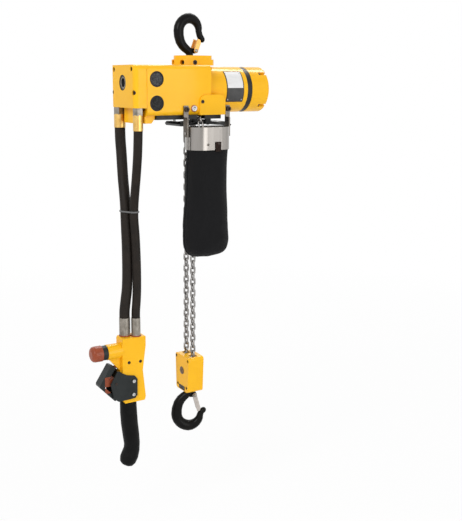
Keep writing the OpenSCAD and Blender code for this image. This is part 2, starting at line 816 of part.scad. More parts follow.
module bearings() color("silver") {
    for (s = [-1, 1])
        xring(drum_r, drum_shaft_r + run_fit, s * (seat_x - 0.2 - bearing_w / 2) - bearing_w / 2,
            s * (seat_x - 0.2 - bearing_w / 2) + bearing_w / 2);
    for (x = [liner_x0 - rotor_bearing_w, liner_x1])
        xring(rotor_bearing_r, rotor_shaft_r + run_fit, x, x + rotor_bearing_w);
}

// Sheave: deep groove for standing links, pockets for flat ones
module load_sheave() color("dimgray")
    difference() {
        union() {
            xcyl(flange_r, -sheave_half, sheave_half);
            xcyl(drum_shaft_r, 0.3 - seat_x, carrier_x);
        }
        xring(flange_r + 5, stand_r - link_half_w - 0.7, -wire / 2 - 0.65, wire / 2 + 0.65);
        xring(flange_r + 5, wrap_r + 1.3, -link_half_w - gap, link_half_w + gap);
        for (i = [0 : pockets - 1])
            translate([0, 0, axis_z]) rotate([360 * i / pockets, 0, 0])
                box([-link_half_w - gap, strand_y - wire / 2 - 1.3, -pitch / 2 - wire - 0.6],
                    [link_half_w + gap, flange_r + 5, pitch / 2 + wire + 0.6]);
    }

// Chain

// Round link along Z, in the plane of X and Z
module link() {
    for (s = [0, 180])
        rotate([0, s, 0]) {
            translate([0, 0, link_straight]) rotate([90, 0, 0])
                rotate_extrude(angle = 180, $fn = 32) translate([link_bend, 0]) circle(r = wire / 2,
                    $fn = 16);
            translate([link_bend, 0, -link_straight]) cylinder(r = wire / 2, h = 2 * link_straight, $fn = 16);
        }
}

// Link of a fall: y across, k pitches below a sheave at height z
module fall_link(y, z, k) translate([0, y, z - k * pitch]) rotate([0, 0, k % 2 * 90]) link();

// Link on a sheave: angle round the drive axis from +Y
module wrap_link(z, a, k) translate([0, 0, z]) rotate([a, 0, 0]) translate([0,
    k % 2 == 0 ? strand_y : stand_r, 0])
    rotate([0, 0, k % 2 * 90]) link();

// Slack links between two counts, on their slanted way off the sheave
module slack_run(first, last) translate([0, slack_start[0], slack_start[1]]) rotate([-slack_tilt, 0, 0])
    for (k = [first : last]) fall_link(0, -pitch / 2, k);

module upper_chain() color("silver") {
    for (k = [0 : upper_last]) fall_link(strand_y, axis_z, k);
    for (k = [dead_first : upper_last]) fall_link(-strand_y, axis_z, k);
    for (k = [1 : 3]) wrap_link(axis_z, k * link_turn, k);
    slack_run(0, slack_led - 1);
}

module lower_chain() color("silver") {
    for (s = [-1, 1], k = [upper_last + 1 : falls_links]) fall_link(s * strand_y, axis_z, k);
    for (k = [1 : 3]) wrap_link(block_z, -k * link_turn, k);
}

module slack_chain() color("silver") {
    slack_run(slack_led, slack_links - 1);
    translate([0, slack_end[0], slack_end[1]])
        for (k = [0 : slack_tail - 1]) fall_link(0, -pitch / 2, k + slack_links % 2);
}

module chain_stop() color("black")
    translate([0, slack_end[0], slack_end[1] - pitch * (slack_tail - 0.5)])
        difference() {
            translate([0, 0, -pitch]) cylinder(r = chain_stop_r, h = pitch + 1.5);
            box([-wire / 2 - 0.3, -link_half_w - 0.3, -pitch + 1],
                [wire / 2 + 0.3, link_half_w + 0.3, pitch]);
        }

// Motor and brake

module motor_cylinder() color("silver")
    difference() {
        xcyl(liner_r, liner_x0, liner_x1);
        xcyl(rotor_r + bore_offset + 0.3, liner_x0 - 1, liner_x1 + 1, axis_z - bore_offset);
    }

module motor_end_plates() color("silver") {
    difference() {
        xcyl(liner_r, motor_x + gap, liner_x0);
        xcyl(rotor_bearing_r + seat_fit, liner_x0 - rotor_bearing_w, liner_x0 + 1);
        xcyl(rotor_shaft_r + gap, motor_x - 1, liner_x0 + 1);
    }
    difference() {
        xcyl(liner_r, liner_x1, liner_x1 + plate_t);
        xcyl(rotor_bearing_r + seat_fit, liner_x1 - 1, liner_x1 + rotor_bearing_w);
        xcyl(rotor_shaft_r + gap, liner_x1 - 1, liner_x1 + plate_t + 1);
    }
}

// Slots of the vanes, wider and longer than the vanes by some play
module vane_slots(play)
    for (i = [0 : vanes - 1])
        translate([0, 0, axis_z]) rotate([360 * i / vanes + 18, 0, 0])
            box([rotor_x0 - play, -vane_t / 2 - play, vane_root_r - play],
                [rotor_x1 + play, vane_t / 2 + play, rotor_r - 0.3 + 60 * play]);

module motor_rotor() color("dimgray") {
    difference() {
        xcyl(rotor_r, rotor_x0, rotor_x1);
        vane_slots(run_fit);
    }
    xcyl(rotor_shaft_r, motor_x - 2, rotor_x0 + 1);
    xcyl(rotor_shaft_r, rotor_x1 - 1, cap_end - cap_floor - spigot_len - 1);
    xcyl(pinion_shaft_r, gear_x - 0.5, motor_x - 1);
}

module rotor_vanes() color("sienna") vane_slots(0);

module brake_disc() color("dimgray")
    xring(brake_r, rotor_shaft_r + seat_fit, cap_x + gap, cap_x + gap + brake_disc_t);

// Piston: plate on a sleeve that slides on the spigot of the cap
module brake_piston() color("silver") {
    xring(piston_r, rotor_shaft_r + 1, piston_x, piston_x + piston_t);
    xring(spigot_r + 3, spigot_r + run_fit, piston_x + piston_t - 1, cap_end - cap_floor - 2);
}

// Stack of disc springs between the piston and the cap
module brake_springs() color("silver") {
    low = piston_x + piston_t + 0.3;
    step = (cap_end - cap_floor - 0.3 - low) / 6;
    for (i = [0 : 5]) {
        flip = i % 2;
        x0 = low + i * step;
        turned([[x0 + (flip == 0 ? 0.1 : step - 1.7), 17], [x0 + (flip == 0 ? step - 1.7 : 0.1), 29],
            [x0 + (flip == 0 ? step - 0.1 : 1.7), 29], [x0 + (flip == 0 ? 1.7 : step - 0.1), 17]]);
    }
}

// Hooks and latches

// Point of the neck between the bowl at t = 0 and the shank at t = 1
function neck(c, h, t) =
    let (s = 1 - t) s * s * s * [-c, 0] + 3 * s * s * t * [-c, -0.8 * h] + 3 * s * t * t * [0, -0.75 * h]
        + t * t * t * [0, -h];

// Stations of a hook from shank end to tip, each as x, z and radius; the bowl is round the origin
function hook_path(bowl, body, tip, last, drop, low) =
    let (c = bowl + body, h = drop - 3, r0 = lerp(tip_r, body, last / 90), start = polar(bowl + r0, last),
        end = [bowl + tip_r + tip[0], tip[1]], way = end - start)
    concat([[0, -low, shank_r], [0, -h, shank_r]],
        [for (t = [0.85 : -0.15 : 0.1]) [neck(c, h, t)[0], neck(c, h, t)[1], lerp(body, shank_r, t)]],
        [for (i = [0 : 12]) let (a = lerp(180, last, i / 12), r = a >= 90 ? body : lerp(tip_r, body, a / 90))
            [(bowl + r) * cos(a), (bowl + r) * sin(a), r]],
        [let (mid = start + [0.35 * way[0], 0.55 * way[1]]) [mid[0], mid[1], tip_r]],
        [for (e = [[0, 1], [0.6, 0.8], [0.95, 0.35]])
            let (p = end + e[0] * tip_r * unit([0.65 * way[0], 0.45 * way[1]])) [p[0], p[1], tip_r * e[1]]]);

function flat(p) = [p[0], 0, p[1]];

module hook(bowl, body, tip, last, drop, low, pivot)
    difference() {
        union() {
            path = hook_path(bowl, body, tip, last, drop, low);
            spine = [for (p = path) flat(p)];
            skin([for (i = [0 : len(path) - 1])
                ring_at(spine[i], i == 0 ? [0, 0, 1] : heading(spine, i), path[i][2], hook_sides)]);
            ycyl(lug_r, latch_side, -pivot, -lug_w / 2, lug_w / 2);
            box([0, -lug_w / 2, -pivot - lug_r], [latch_side, lug_w / 2, -pivot + lug_r]);
        }
        ycyl(latch_pin_r + run_fit, latch_side, -pivot, -lug_w, lug_w);
    }

// Latch from its pin up to the inner side of its hook's tip
module latch(bowl, tip, pivot, rest) {
    end = [bowl + tip_r + tip[0], tip[1]];
    foot = [latch_side, -pivot];
    aim = end - foot - rest;
    length = norm(aim);
    translate([foot[0], 0, foot[1]]) {
        rotate([0, atan2(aim[0], aim[1]), 0]) {
            box([-latch_half_t, -latch_w / 2, latch_root], [latch_half_t, latch_w / 2, length - 1]);
            for (y = [-latch_w / 2, cheek_in])
                along_y(y, y + latch_w / 2 - cheek_in) {
                    circle(r = cheek_r);
                    polygon([[-cheek_r, 0], [cheek_r, 0], [cheek_r, length - cheek_r], [1, length],
                        [-cheek_r, length]]);
                }
        }
        ycyl(latch_pin_r, 0, 0, -latch_w / 2, latch_w / 2);
    }
}

module top_hook() color("black") translate([0, 0, -top_bowl_r])
    hook(top_bowl_r, top_body_r, top_tip, top_last, hang_drop - top_bowl_r, -top_bowl_r - nut_z, top_pivot);

module top_latch() color("goldenrod") translate([0, 0, -top_bowl_r]) latch(top_bowl_r, top_tip, top_pivot,
    top_rest);

module shank_nut(z) translate([0, 0, z])
    difference() {
        cylinder(r = nut_r, h = nut_h);
        translate([0, 0, -1]) cylinder(r = shank_r + seat_fit, h = nut_h + 2);
    }

module top_hook_nut() color("dimgray") shank_nut(nut_z);

module at_load_hook() translate([0, 0, load_hook_z]) rotate([0, 0, load_turn]) rotate([180, 0, 0]) children();

module load_hook() color("black") at_load_hook()
    hook(load_bowl_r, load_body_r, load_tip, load_last, load_drop, shank_low - load_hook_z, load_pivot);

module load_latch() color("silver") at_load_hook() latch(load_bowl_r, load_tip, load_pivot, load_rest);

module load_hook_nut() color("dimgray") shank_nut(shank_low - nut_h);

// Hook block

module block_places()
    for (s = [-1, 1], spot = [[block_top_w / 2 - 4, block_top - 7], [block_low_w / 2 - 6, block_low + 10]])
        translate([1 - block_len / 2, s * spot[0], spot[1]]) rotate([0, -90, 0]) children();

module block_half(x0, x1)
    difference() {
        along_x(x0, x1) offset(6) offset(-6)
            polygon([[-block_top_w / 2, block_top], [block_top_w / 2, block_top],
                [block_low_w / 2, block_low], [-block_low_w / 2, block_low]]);
        xcyl(stand_r + link_half_w + 1.4, -idler_half - gap, idler_half + gap, block_z);
        for (s = [-1, 1])
            translate([0, s * strand_y, block_z])
                linear_extrude(block_rise + 1) rounded([2 * link_half_w + 2.4, 2 * link_half_w + 2.4], 3);
        xcyl(axle_r + seat_fit, -block_len, block_len / 2 - 3, block_z);
        translate([0, 0, block_low + 7]) cylinder(r = nut_r + 1.5, h = 12);
        translate([0, 0, block_low - 1]) cylinder(r = shank_r + 2 * run_fit, h = 10);
        block_places() screw_room(block_screw_len, block_head_r, block_head_h, block_screw_r);
    }

module block_left() color("gold") block_half(-block_len / 2, 0);
module block_right() color("gold") block_half(0, block_len / 2);

module block_screws() color("dimgray") block_places()
    socket_screw(block_screw_len, block_head_r, block_head_h, block_screw_r);

module idler_axle() color("dimgray") xcyl(axle_r, 2 - block_len / 2, block_len / 2 - 3 - seat_fit, block_z);

module idler_sheave() color("dimgray") translate([0, 0, block_z - axis_z]) {
    flat_r = strand_y - wire / 2 - 0.5;
    deep_r = stand_r - link_half_w - 0.45;
    deep = wire / 2 + 0.55;
    wide = link_half_w + 0.5;
    turned([[-idler_half, axle_r + run_fit], [-idler_half, idler_r], [-wide, idler_r], [-wide, flat_r],
        [-deep, flat_r],
        [-deep, deep_r], [deep, deep_r], [deep, flat_r], [wide, flat_r], [wide, idler_r],
            [idler_half, idler_r],
        [idler_half, axle_r + run_fit]]);
}

// Chain bag

// Strap down to the bag's pin and pointed plate on the front of the body
module bag_hangers() color("silver")
    for (x = hanger_places)
        difference() {
            union() {
                box([x, -bag_reach - 7, bag_pin_z - 7], [x + hanger_t, front_y, housing_low - 4]);
                along_y(front_y - hanger_t, front_y)
                    polygon([[x, housing_low - 17], [x + hanger_t, housing_low - 17],
                        [x + hanger_w, housing_low - 3],
                        [x + hanger_w, hanger_screw_z + 7], [x, hanger_screw_z + 7]]);
            }
            translate([x - 1, -bag_reach, bag_pin_z]) rotate([0, 90, 0])
                cylinder(r = bag_pin_r + run_fit, h = hanger_t + 2);
            hanger_screw_places() screw_room(hanger_screw_len);
        }

module bag_collar() color("silver") {
    translate([bag_x, -bag_reach, collar_low]) linear_extrude(collar_h)
        difference() {
            rounded([bag_w, bag_d], bag_d / 2 - 1);
            rounded([bag_w - 2 * collar_t, bag_d - 2 * collar_t], bag_d / 2 - 1 - collar_t);
        }
    left = bag_x - bag_w / 2 + collar_t / 2;
    right = bag_x + bag_w / 2 - collar_t / 2;
    translate([0, -bag_reach, 0]) {
        xcyl(bag_pin_r, left_hanger_x - 1, left, bag_pin_z);
        xcyl(bag_pin_r, right, right_hanger_x + hanger_t + 1, bag_pin_z);
    }
}

// Ring of the bag: a flat-sided oval of width w and depth d
function bag_ring(w, d, z) =
    [for (s = [0, 1], i = [0 : 8]) let (a = 180 * s - 90 + 22.5 * i)
        [bag_x + (1 - 2 * s) * (w - d) / 2 + d / 2 * cos(a), -bag_reach + d / 2 * sin(a), z]];

module chain_bag() color("black") {
    tuck = 2 * collar_t + 0.6;
    // Height as a share of the bag, extra width and extra depth
    shape = [[-0.05, -tuck, -tuck], [0.005, -tuck, -tuck], [0.04, 0, -1], [0.45, 1, 0], [0.85, 9, 1],
        [0.93, 8, 0], [0.98, 2, -5], [1, -14, -20]];
    outer = [for (p = shape) bag_ring(bag_w + p[1], bag_d + p[2], collar_low - bag_h * p[0])];
    inner = [for (p = shape)
        bag_ring(bag_w + p[1] - 2 * fabric_t, bag_d + p[2] - 2 * fabric_t,
            collar_low - bag_h * p[0] + max(0, p[0] - 0.9) * 10 * fabric_t)];
    n = len(shape);
    skin(concat([for (i = [n - 1 : -1 : 0]) inner[i]], outer));
}

// Hoses and fittings

module fitting(spot, top, low, r) translate([spot[0], spot[1], 0]) {
    translate([0, 0, top - 14]) cylinder(r = r + 1.6, h = 14, $fn = 6);
    translate([0, 0, low]) cylinder(r = r + 0.8, h = top - 13 - low);
}

module hose_fittings() color("goldenrod") {
    fitting(large_outlet, cover_low, large_outlet_low, large_hose_r);
    fitting(small_outlet, cover_low, small_outlet_low, small_hose_r);
    for (spot = [large_outlet, small_outlet])
        translate([spot[0], spot[1], cover_low - 1]) cylinder(r = outlet_r, h = outlet_depth - 1);
}

module large_hose() color("black") tube(large_route, large_hose_r);
module small_hose() color("black") tube(small_route, small_hose_r);

// Pendant

module at_pendant() translate([pendant_x, 0, pendant_top]) children();

module pendant_body() color("gold") at_pendant()
    difference() {
        r = pendant_len / 2;
        union() {
            along_y(-pendant_t / 2, pendant_t / 2)
                offset(2) offset(-2)
                    polygon(levelled([[-r, 0], [r + 1, 0], [r + 1, -20], [r - 6, -71], [r, -128],
                        [r - 2, -136], [-r + 2, -136], [-r - 2, -130], [-r - 2, -4]]));
            xcyl(stop_stub_r, stop_stub_x, -r, stop_z);
            along_y(-stub_web_half, stub_web_half) polygon(stub_web);
        }
        xcyl(stop_stem_r + run_fit, stop_stub_x - 1, stop_stem_end + stop_travel + 1, stop_z);
        for (z = [trigger_pivot[1] + plunger_arm, trigger_pivot[1] - plunger_arm])
            xcyl(plunger_r + run_fit, plunger_bore[0], plunger_bore[1], z);
        pendant_places() screw_room(pendant_screw_len, pendant_head_r, pendant_head_h, pendant_screw_r);
        cheek_places() screw_room(pendant_screw_len, pendant_head_r, pendant_head_h, pendant_screw_r);
    }

module pendant_places()
    for (spot = body_screw_spots)
        translate([spot[0], 0.4 - pendant_t / 2, spot[1]]) rotate([90, 0, 0]) children();

module cheek_places()
    for (s = [0, 180], spot = guard_screw_spots)
        translate([spot[0], 0, spot[1]]) rotate([0, 0, s])
            translate([0, -pendant_t / 2 - cheek_t - pendant_head_h, 0]) rotate([90, 0, 0]) children();

module pendant_fittings() color("goldenrod")
    for (i = [0, 1]) {
        r = i == 0 ? large_hose_r : small_hose_r;
        translate([fitting_spots[i][0], fitting_spots[i][1], pendant_top]) {
            cylinder(r = r + 1.2, h = fitting_nut_h, $fn = 6);
            cylinder(r = r + 0.6, h = fitting_top - pendant_top);
        }
    }

module stop_collar() color("black") at_pendant()
    xring(stop_ring_r, stop_stem_r + run_fit, stop_stub_x - stop_ring_len - stop_overlap, stop_stub_x,
        stop_z);

// Knob with a hollow skirt over the collar, on a stem
module stop_button() color("firebrick") at_pendant() {
    x1 = stop_stub_x - stop_ring_len;
    x0 = x1 - stop_knob_len;
    hollow = x1 - stop_overlap - stop_travel - gap;
    translate([0, 0, stop_z - axis_z])
        turned([[x0, 0], [x0, stop_r - 7], [x0 + 1.5, stop_r - 3.5], [x0 + 4, stop_r - 1],
            [x0 + 8, stop_r], [x1, stop_r],
            [x1, stop_ring_r + gap], [hollow, stop_ring_r + gap], [hollow, stop_stem_r],
                [stop_stem_end, stop_stem_r],
            [stop_stem_end, 0]]);
}

module guard_plates() color("dimgray") at_pendant()
    difference() {
        for (y = [-pendant_t / 2 - cheek_t, pendant_t / 2])
            along_y(y, y + cheek_t) offset(guard_round) offset(-guard_round) polygon(guard_outline);
        cheek_places() screw_room(pendant_screw_len, pendant_head_r, pendant_head_h, pendant_screw_r);
        ycyl(trigger_pin_r + seat_fit, trigger_pivot[0], trigger_pivot[1], -pendant_t, pendant_t);
    }

module guard_screws() color("silver") at_pendant() {
    pendant_places() socket_screw(pendant_screw_len, pendant_head_r, pendant_head_h, pendant_screw_r);
    cheek_places() socket_screw(pendant_screw_len, pendant_head_r, pendant_head_h, pendant_screw_r);
    ycyl(trigger_pin_r, trigger_pivot[0], trigger_pivot[1], -pendant_t / 2 - cheek_t - 1,
        pendant_t / 2 + cheek_t + 1);
}

module trigger() color("dimgray") at_pendant()
    difference() {
        along_y(-trigger_w / 2, trigger_w / 2) {
            x = trigger_pivot[0];
            z = trigger_pivot[1];
            offset(trigger_round) offset(-trigger_round) polygon(trigger_outline);
            for (i = [0, 1])
                translate([plunger_face[i] - plunger_gap - pad_len, z + (1 - 2 * i) * plunger_arm - pad_half])
                    square([pad_len, 2 * pad_half]);
            translate([x, z]) circle(r = trigger_boss_r);
            translate([trigger_web_x, trigger_web[0]]) square([x - trigger_web_x,
                trigger_web[1] - trigger_web[0]]);
        }
        ycyl(trigger_pin_r + run_fit, trigger_pivot[0], trigger_pivot[1], -trigger_w, trigger_w);
    }

module plunger(x, z) at_pendant() xcyl(plunger_r, x, plunger_end, z);

module plunger_up() color("sienna") plunger(plunger_face[0], trigger_pivot[1] + plunger_arm);
module plunger_down() color("sienna") plunger(plunger_face[1], trigger_pivot[1] - plunger_arm);

// Grip: stations of x, z and radius down from the pendant's body
function grip_path() = let (k = grip_len / 140) [
    [-9, 0, 0.9], [-9, -4 * k, 0.97], [-8.5, -24 * k, 1], [-7, -49 * k, 1], [-4, -75 * k, 0.98],
        [-2, -95 * k, 0.94],
    [-3, -108 * k, 0.96], [-7, -120 * k, 1.03], [-12, -130 * k, 1], [-16, -137 * k, 0.8],
        [-17.5, -140 * k, 0.5]];

module grip() color("black") at_pendant() translate([0, 0, -pendant_h]) {
    path = grip_path();
    spine = [for (p = path) flat(p)];
    skin([for (i = [0 : len(path) - 1])
        ring_at(spine[i], i < 2 ? [0, 0, -1] : heading(spine, i), grip_r * path[i][2], 20)]);
}

gear_housing();
valve_cover();
valve_block();
motor_housing();
motor_band();
motor_end_cap();
suspension_bracket();
housing_screws();
exhaust_silencers();
chain_guide();
anchor_pin();
ring_gear();
bearings();
motor_cylinder();
motor_end_plates();
brake_springs();
valve_spring();
bag_hangers();
hose_fittings();
upper_chain();
slack_chain();
chain_stop();
load_sheave();
planet_carrier();
planet_gear_1();
planet_gear_2();
planet_gear_3();
motor_rotor();
rotor_vanes();
sun_pinion();
brake_disc();
brake_piston();
top_hook();
top_hook_nut();
top_latch();
limit_lever();
valve_spool();
block_left();
block_right();
block_screws();
idler_axle();
idler_sheave();
lower_chain();
load_hook();
load_hook_nut();
load_latch();
bag_collar();
chain_bag();
large_hose();
small_hose();
pendant_body();
pendant_fittings();
stop_collar();
stop_button();
guard_plates();
guard_screws();
trigger();
plunger_up();
plunger_down();
grip();
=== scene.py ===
"""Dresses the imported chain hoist: camera, light, hoses, bag, small pieces and materials."""
import json
import math

import bmesh
import bpy
from mathutils import Matrix, Vector, noise


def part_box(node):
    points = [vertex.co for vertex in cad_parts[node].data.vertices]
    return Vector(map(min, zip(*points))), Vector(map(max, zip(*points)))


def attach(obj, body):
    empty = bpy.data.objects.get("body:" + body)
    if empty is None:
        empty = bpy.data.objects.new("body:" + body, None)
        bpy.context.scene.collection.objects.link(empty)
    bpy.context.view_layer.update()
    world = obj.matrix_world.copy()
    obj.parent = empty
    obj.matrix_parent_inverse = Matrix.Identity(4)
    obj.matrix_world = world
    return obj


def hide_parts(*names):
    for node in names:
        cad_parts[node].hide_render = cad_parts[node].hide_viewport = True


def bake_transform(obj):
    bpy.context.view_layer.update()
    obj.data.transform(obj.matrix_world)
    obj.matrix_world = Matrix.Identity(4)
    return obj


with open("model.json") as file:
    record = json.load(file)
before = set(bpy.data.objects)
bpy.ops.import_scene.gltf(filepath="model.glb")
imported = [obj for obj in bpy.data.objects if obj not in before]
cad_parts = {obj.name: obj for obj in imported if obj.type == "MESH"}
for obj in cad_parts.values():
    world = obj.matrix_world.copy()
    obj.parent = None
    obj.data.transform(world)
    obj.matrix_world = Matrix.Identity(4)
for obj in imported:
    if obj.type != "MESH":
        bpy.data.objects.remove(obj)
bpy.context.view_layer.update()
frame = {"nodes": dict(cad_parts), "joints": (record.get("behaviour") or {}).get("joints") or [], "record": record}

NODES = frame["nodes"]
# Joints by the body that they move, and places of the mounts by name
JOINTS = {j["child"]: j for j in frame["joints"]}
MOUNTS = {m["name"]: Vector(m["pos_m"]) for m in frame["record"]["mounts"]}
MM = 0.001
FRONT = (0, -1, 0)
LEFT = (-1, 0, 0)
UP = (0, 0, 1)
scene = bpy.context.scene
scene.view_settings.view_transform = "Standard"


# Camera: the photograph's viewing angle

def camera():
    """Camera at the photograph's place, level sideways and pitched down."""
    azimuth = math.radians(29)
    pitch = math.radians(12.4)
    away = 1.65
    eye_z = -0.1045
    focal_px, middle_px, width_px = 825, 189.5, 462
    sensor = 36
    s, c = math.sin(azimuth), math.cos(azimuth)
    right = Vector((c, -s, 0))
    ahead = Vector((s * math.cos(pitch), c * math.cos(pitch), -math.sin(pitch)))
    up = right.cross(ahead)
    data = bpy.data.cameras.new("camera")
    data.sensor_fit = "HORIZONTAL"
    data.sensor_width = sensor
    data.lens = sensor * focal_px / width_px
    data.shift_x = (width_px / 2 - middle_px) / width_px
    data.clip_end = 50
    obj = bpy.data.objects.new("camera", data)
    turn = Matrix((right, up, -ahead)).transposed().to_4x4()
    obj.matrix_world = Matrix.Translation((-s * away, -c * away, eye_z)) @ turn
    scene.collection.objects.link(obj)
    scene.camera = obj


# Shader helpers

def tree_of(name):
    """A new material, its node tree and its principled shader."""
    m = bpy.data.materials.new(name)
    m.use_nodes = True
    tree = m.node_tree
    return m, tree, tree.nodes["Principled BSDF"]


def node(tree, kind, **values):
    """A new node, with properties and input values by name."""
    n = tree.nodes.new(kind)
    for key, value in values.items():
        if hasattr(n, key):
            setattr(n, key, value)
        else:
            n.inputs[key.replace("_", " ")].default_value = value
    return n


def place(tree, scale=(1, 1, 1), space="Object"):
    """Texture coordinates, scaled."""
    coord = tree.nodes.new("ShaderNodeTexCoord")
    mapping = node(tree, "ShaderNodeMapping", Scale=scale)
    tree.links.new(coord.outputs[space], mapping.inputs["Vector"])
    return mapping.outputs["Vector"]


def split_at(tree, vector):
    """The X, Y and Z of a vector, as outputs by name."""
    split = tree.nodes.new("ShaderNodeSeparateXYZ")
    tree.links.new(vector, split.inputs[0])
    return split.outputs


def noise_at(tree, vector, scale, detail=3.0, rough=0.55):
    """Noise texture, from 0 to 1."""
    n = node(tree, "ShaderNodeTexNoise", Scale=scale, Detail=detail, Roughness=rough)
    tree.links.new(vector, n.inputs["Vector"])
    return n.outputs["Fac"]


def ramp(tree, value, low, high, span=(0.3, 0.7)):
    """Ramp from a low to a high colour over a span of the value; a number stands for a grey."""
    r = tree.nodes.new("ShaderNodeValToRGB")
    for element, at, colour in zip(r.color_ramp.elements, span, (low, high)):
        element.position = at
        rgb = (colour,) * 3 if isinstance(colour, (int, float)) else colour
        element.color = (*rgb, 1)
    tree.links.new(value, r.inputs["Fac"])
    return r.outputs["Color"]


def bump(tree, shader, height, strength, distance):
    """Bump from a height, on the shader's normal."""
    b = node(tree, "ShaderNodeBump", Strength=strength, Distance=distance)
    tree.links.new(height, b.inputs["Height"])
    tree.links.new(b.outputs["Normal"], shader.inputs["Normal"])


def maths(tree, kind, a, b):
    """Math node on two inputs, each a number or an output."""
    n = node(tree, "ShaderNodeMath", operation=kind)
    for i, v in enumerate((a, b)):
        if isinstance(v, (int, float)):
            n.inputs[i].default_value = v
        else:
            tree.links.new(v, n.inputs[i])
    return n.outputs[0]


def times(tree, a, b):
    """Product of two inputs."""
    return maths(tree, "MULTIPLY", a, b)


def mixed(tree, a, b, share):
    """A share of a and the rest of b."""
    return maths(tree, "ADD", times(tree, a, share), times(tree, b, 1 - share))


def wave(tree, turns):
    """Sine of a number of turns."""
    return maths(tree, "SINE", times(tree, turns, 2 * math.pi), 0.0)


def crossed(tree, one, two):
    """Two waves across each other, from 0 to 1."""
    return maths(tree, "ADD", times(tree, times(tree, wave(tree, one), wave(tree, two)), 0.5), 0.5)


# Materials

# Dark and light colour of the moulded plastic
DARK_PLASTIC = ((0.009, 0.012, 0.012), (0.019, 0.023, 0.023))
MATERIALS = {}


def surface(name, dark, light, rough, span=(0.3, 0.7), metallic=0.0, coat=0.0, gloss=0.12, specular=0.5,
            grain=60, stretch=(1, 1, 1), peel=700, peel_strength=0.1, peel_depth=0.0002):
    """Material that drifts from a dark to a light colour, with a roughness range and a fine bump."""
    wear_per_grain = 2.3
    m, tree, shader = tree_of(name)
    vector = place(tree, stretch)
    drift = noise_at(tree, vector, grain, detail=5.0, rough=0.6)
    wear = noise_at(tree, vector, grain * wear_per_grain, detail=4.0)
    tree.links.new(ramp(tree, drift, dark, light, span), shader.inputs["Base Color"])
    tree.links.new(ramp(tree, wear, *rough), shader.inputs["Roughness"])
    bump(tree, shader, noise_at(tree, vector, peel, detail=2.0), peel_strength, peel_depth)
    shader.inputs["Metallic"].default_value = metallic
    shader.inputs["Coat Weight"].default_value = coat
    shader.inputs["Coat Roughness"].default_value = gloss
    shader.inputs["Specular IOR Level"].default_value = specular
    return m


def fabric(name, dark, light, threads_u, threads_v):
    """Woven cloth: two sets of threads in UV, with a slow drift of colour."""
    m, tree, shader = tree_of(name)
    threads = split_at(tree, place(tree, (threads_u, threads_v, 1), "UV"))
    weave = crossed(tree, threads["X"], threads["Y"])
    drift = noise_at(tree, place(tree), scale=24, detail=4.0)
    shade = mixed(tree, weave, drift, share=0.45)
    tree.links.new(ramp(tree, shade, dark, light, span=(0.2, 0.75)), shader.inputs["Base Color"])
    tree.links.new(ramp(tree, drift, 0.72, 0.9), shader.inputs["Roughness"])
    bump(tree, shader, weave, strength=0.5, distance=0.0004)
    shader.inputs["Sheen Weight"].default_value = 0.04
    shader.inputs["Sheen Roughness"].default_value = 0.5
    shader.inputs["Specular IOR Level"].default_value = 0.12
    return m


def hose_skin(name):
    """Rubber hose with a wrapped-cloth cover: a diagonal cross pattern in UV."""
    dark, light = (0.006, 0.0045, 0.0035), (0.024, 0.018, 0.014)
    round_turns, long_turns = 12.0, 120.0
    m, tree, shader = tree_of(name)
    spot = split_at(tree, place(tree, space="UV"))
    turns = times(tree, spot["X"], round_turns)
    climb = times(tree, spot["Y"], long_turns)
    braid = crossed(tree, maths(tree, "ADD", turns, climb), maths(tree, "SUBTRACT", turns, climb))
    drift = noise_at(tree, place(tree), scale=45, detail=5.0)
    shade = mixed(tree, braid, drift, share=0.3)
    tree.links.new(ramp(tree, shade, dark, light, span=(0.25, 0.75)), shader.inputs["Base Color"])
    tree.links.new(ramp(tree, drift, 0.45, 0.65), shader.inputs["Roughness"])
    bump(tree, shader, braid, strength=0.35, distance=0.0004)
    shader.inputs["Specular IOR Level"].default_value = 0.16
    return m


def trigger_skin(name):
    """Dark moulded plastic, red-brown on the web behind the pad, by height and depth of the trigger."""
    # Where the web starts and ends below the trigger's top, and how deep the pad before it is
    web_start, web_end, pad_depth = 0.022, 0.056, 0.0105
    red_dark, red_light = (0.2, 0.04, 0.016), (0.32, 0.075, 0.03)
    # Sockets of a Mix node that is set to colours
    colour_a, colour_b, colour_out = 6, 7, 2
    low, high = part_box("trigger")
    m, tree, shader = tree_of(name)
    spot = split_at(tree, place(tree))
    inside = times(tree, maths(tree, "GREATER_THAN", spot["Z"], high.z - web_end),
                   maths(tree, "LESS_THAN", spot["Z"], high.z - web_start))
    inside = times(tree, inside, maths(tree, "GREATER_THAN", spot["X"], low.x + pad_depth))
    drift = noise_at(tree, place(tree), scale=50, detail=5.0, rough=0.6)
    mix = node(tree, "ShaderNodeMix", data_type="RGBA")
    tree.links.new(inside, mix.inputs["Factor"])
    tree.links.new(ramp(tree, drift, *DARK_PLASTIC), mix.inputs[colour_a])
    tree.links.new(ramp(tree, drift, red_dark, red_light), mix.inputs[colour_b])
    tree.links.new(mix.outputs[colour_out], shader.inputs["Base Color"])
    tree.links.new(ramp(tree, drift, 0.36, 0.5), shader.inputs["Roughness"])
    peel = noise_at(tree, place(tree), scale=1200, detail=2.0)
    bump(tree, shader, peel, strength=0.2, distance=0.0002)
    shader.inputs["Specular IOR Level"].default_value = 0.25
    return m


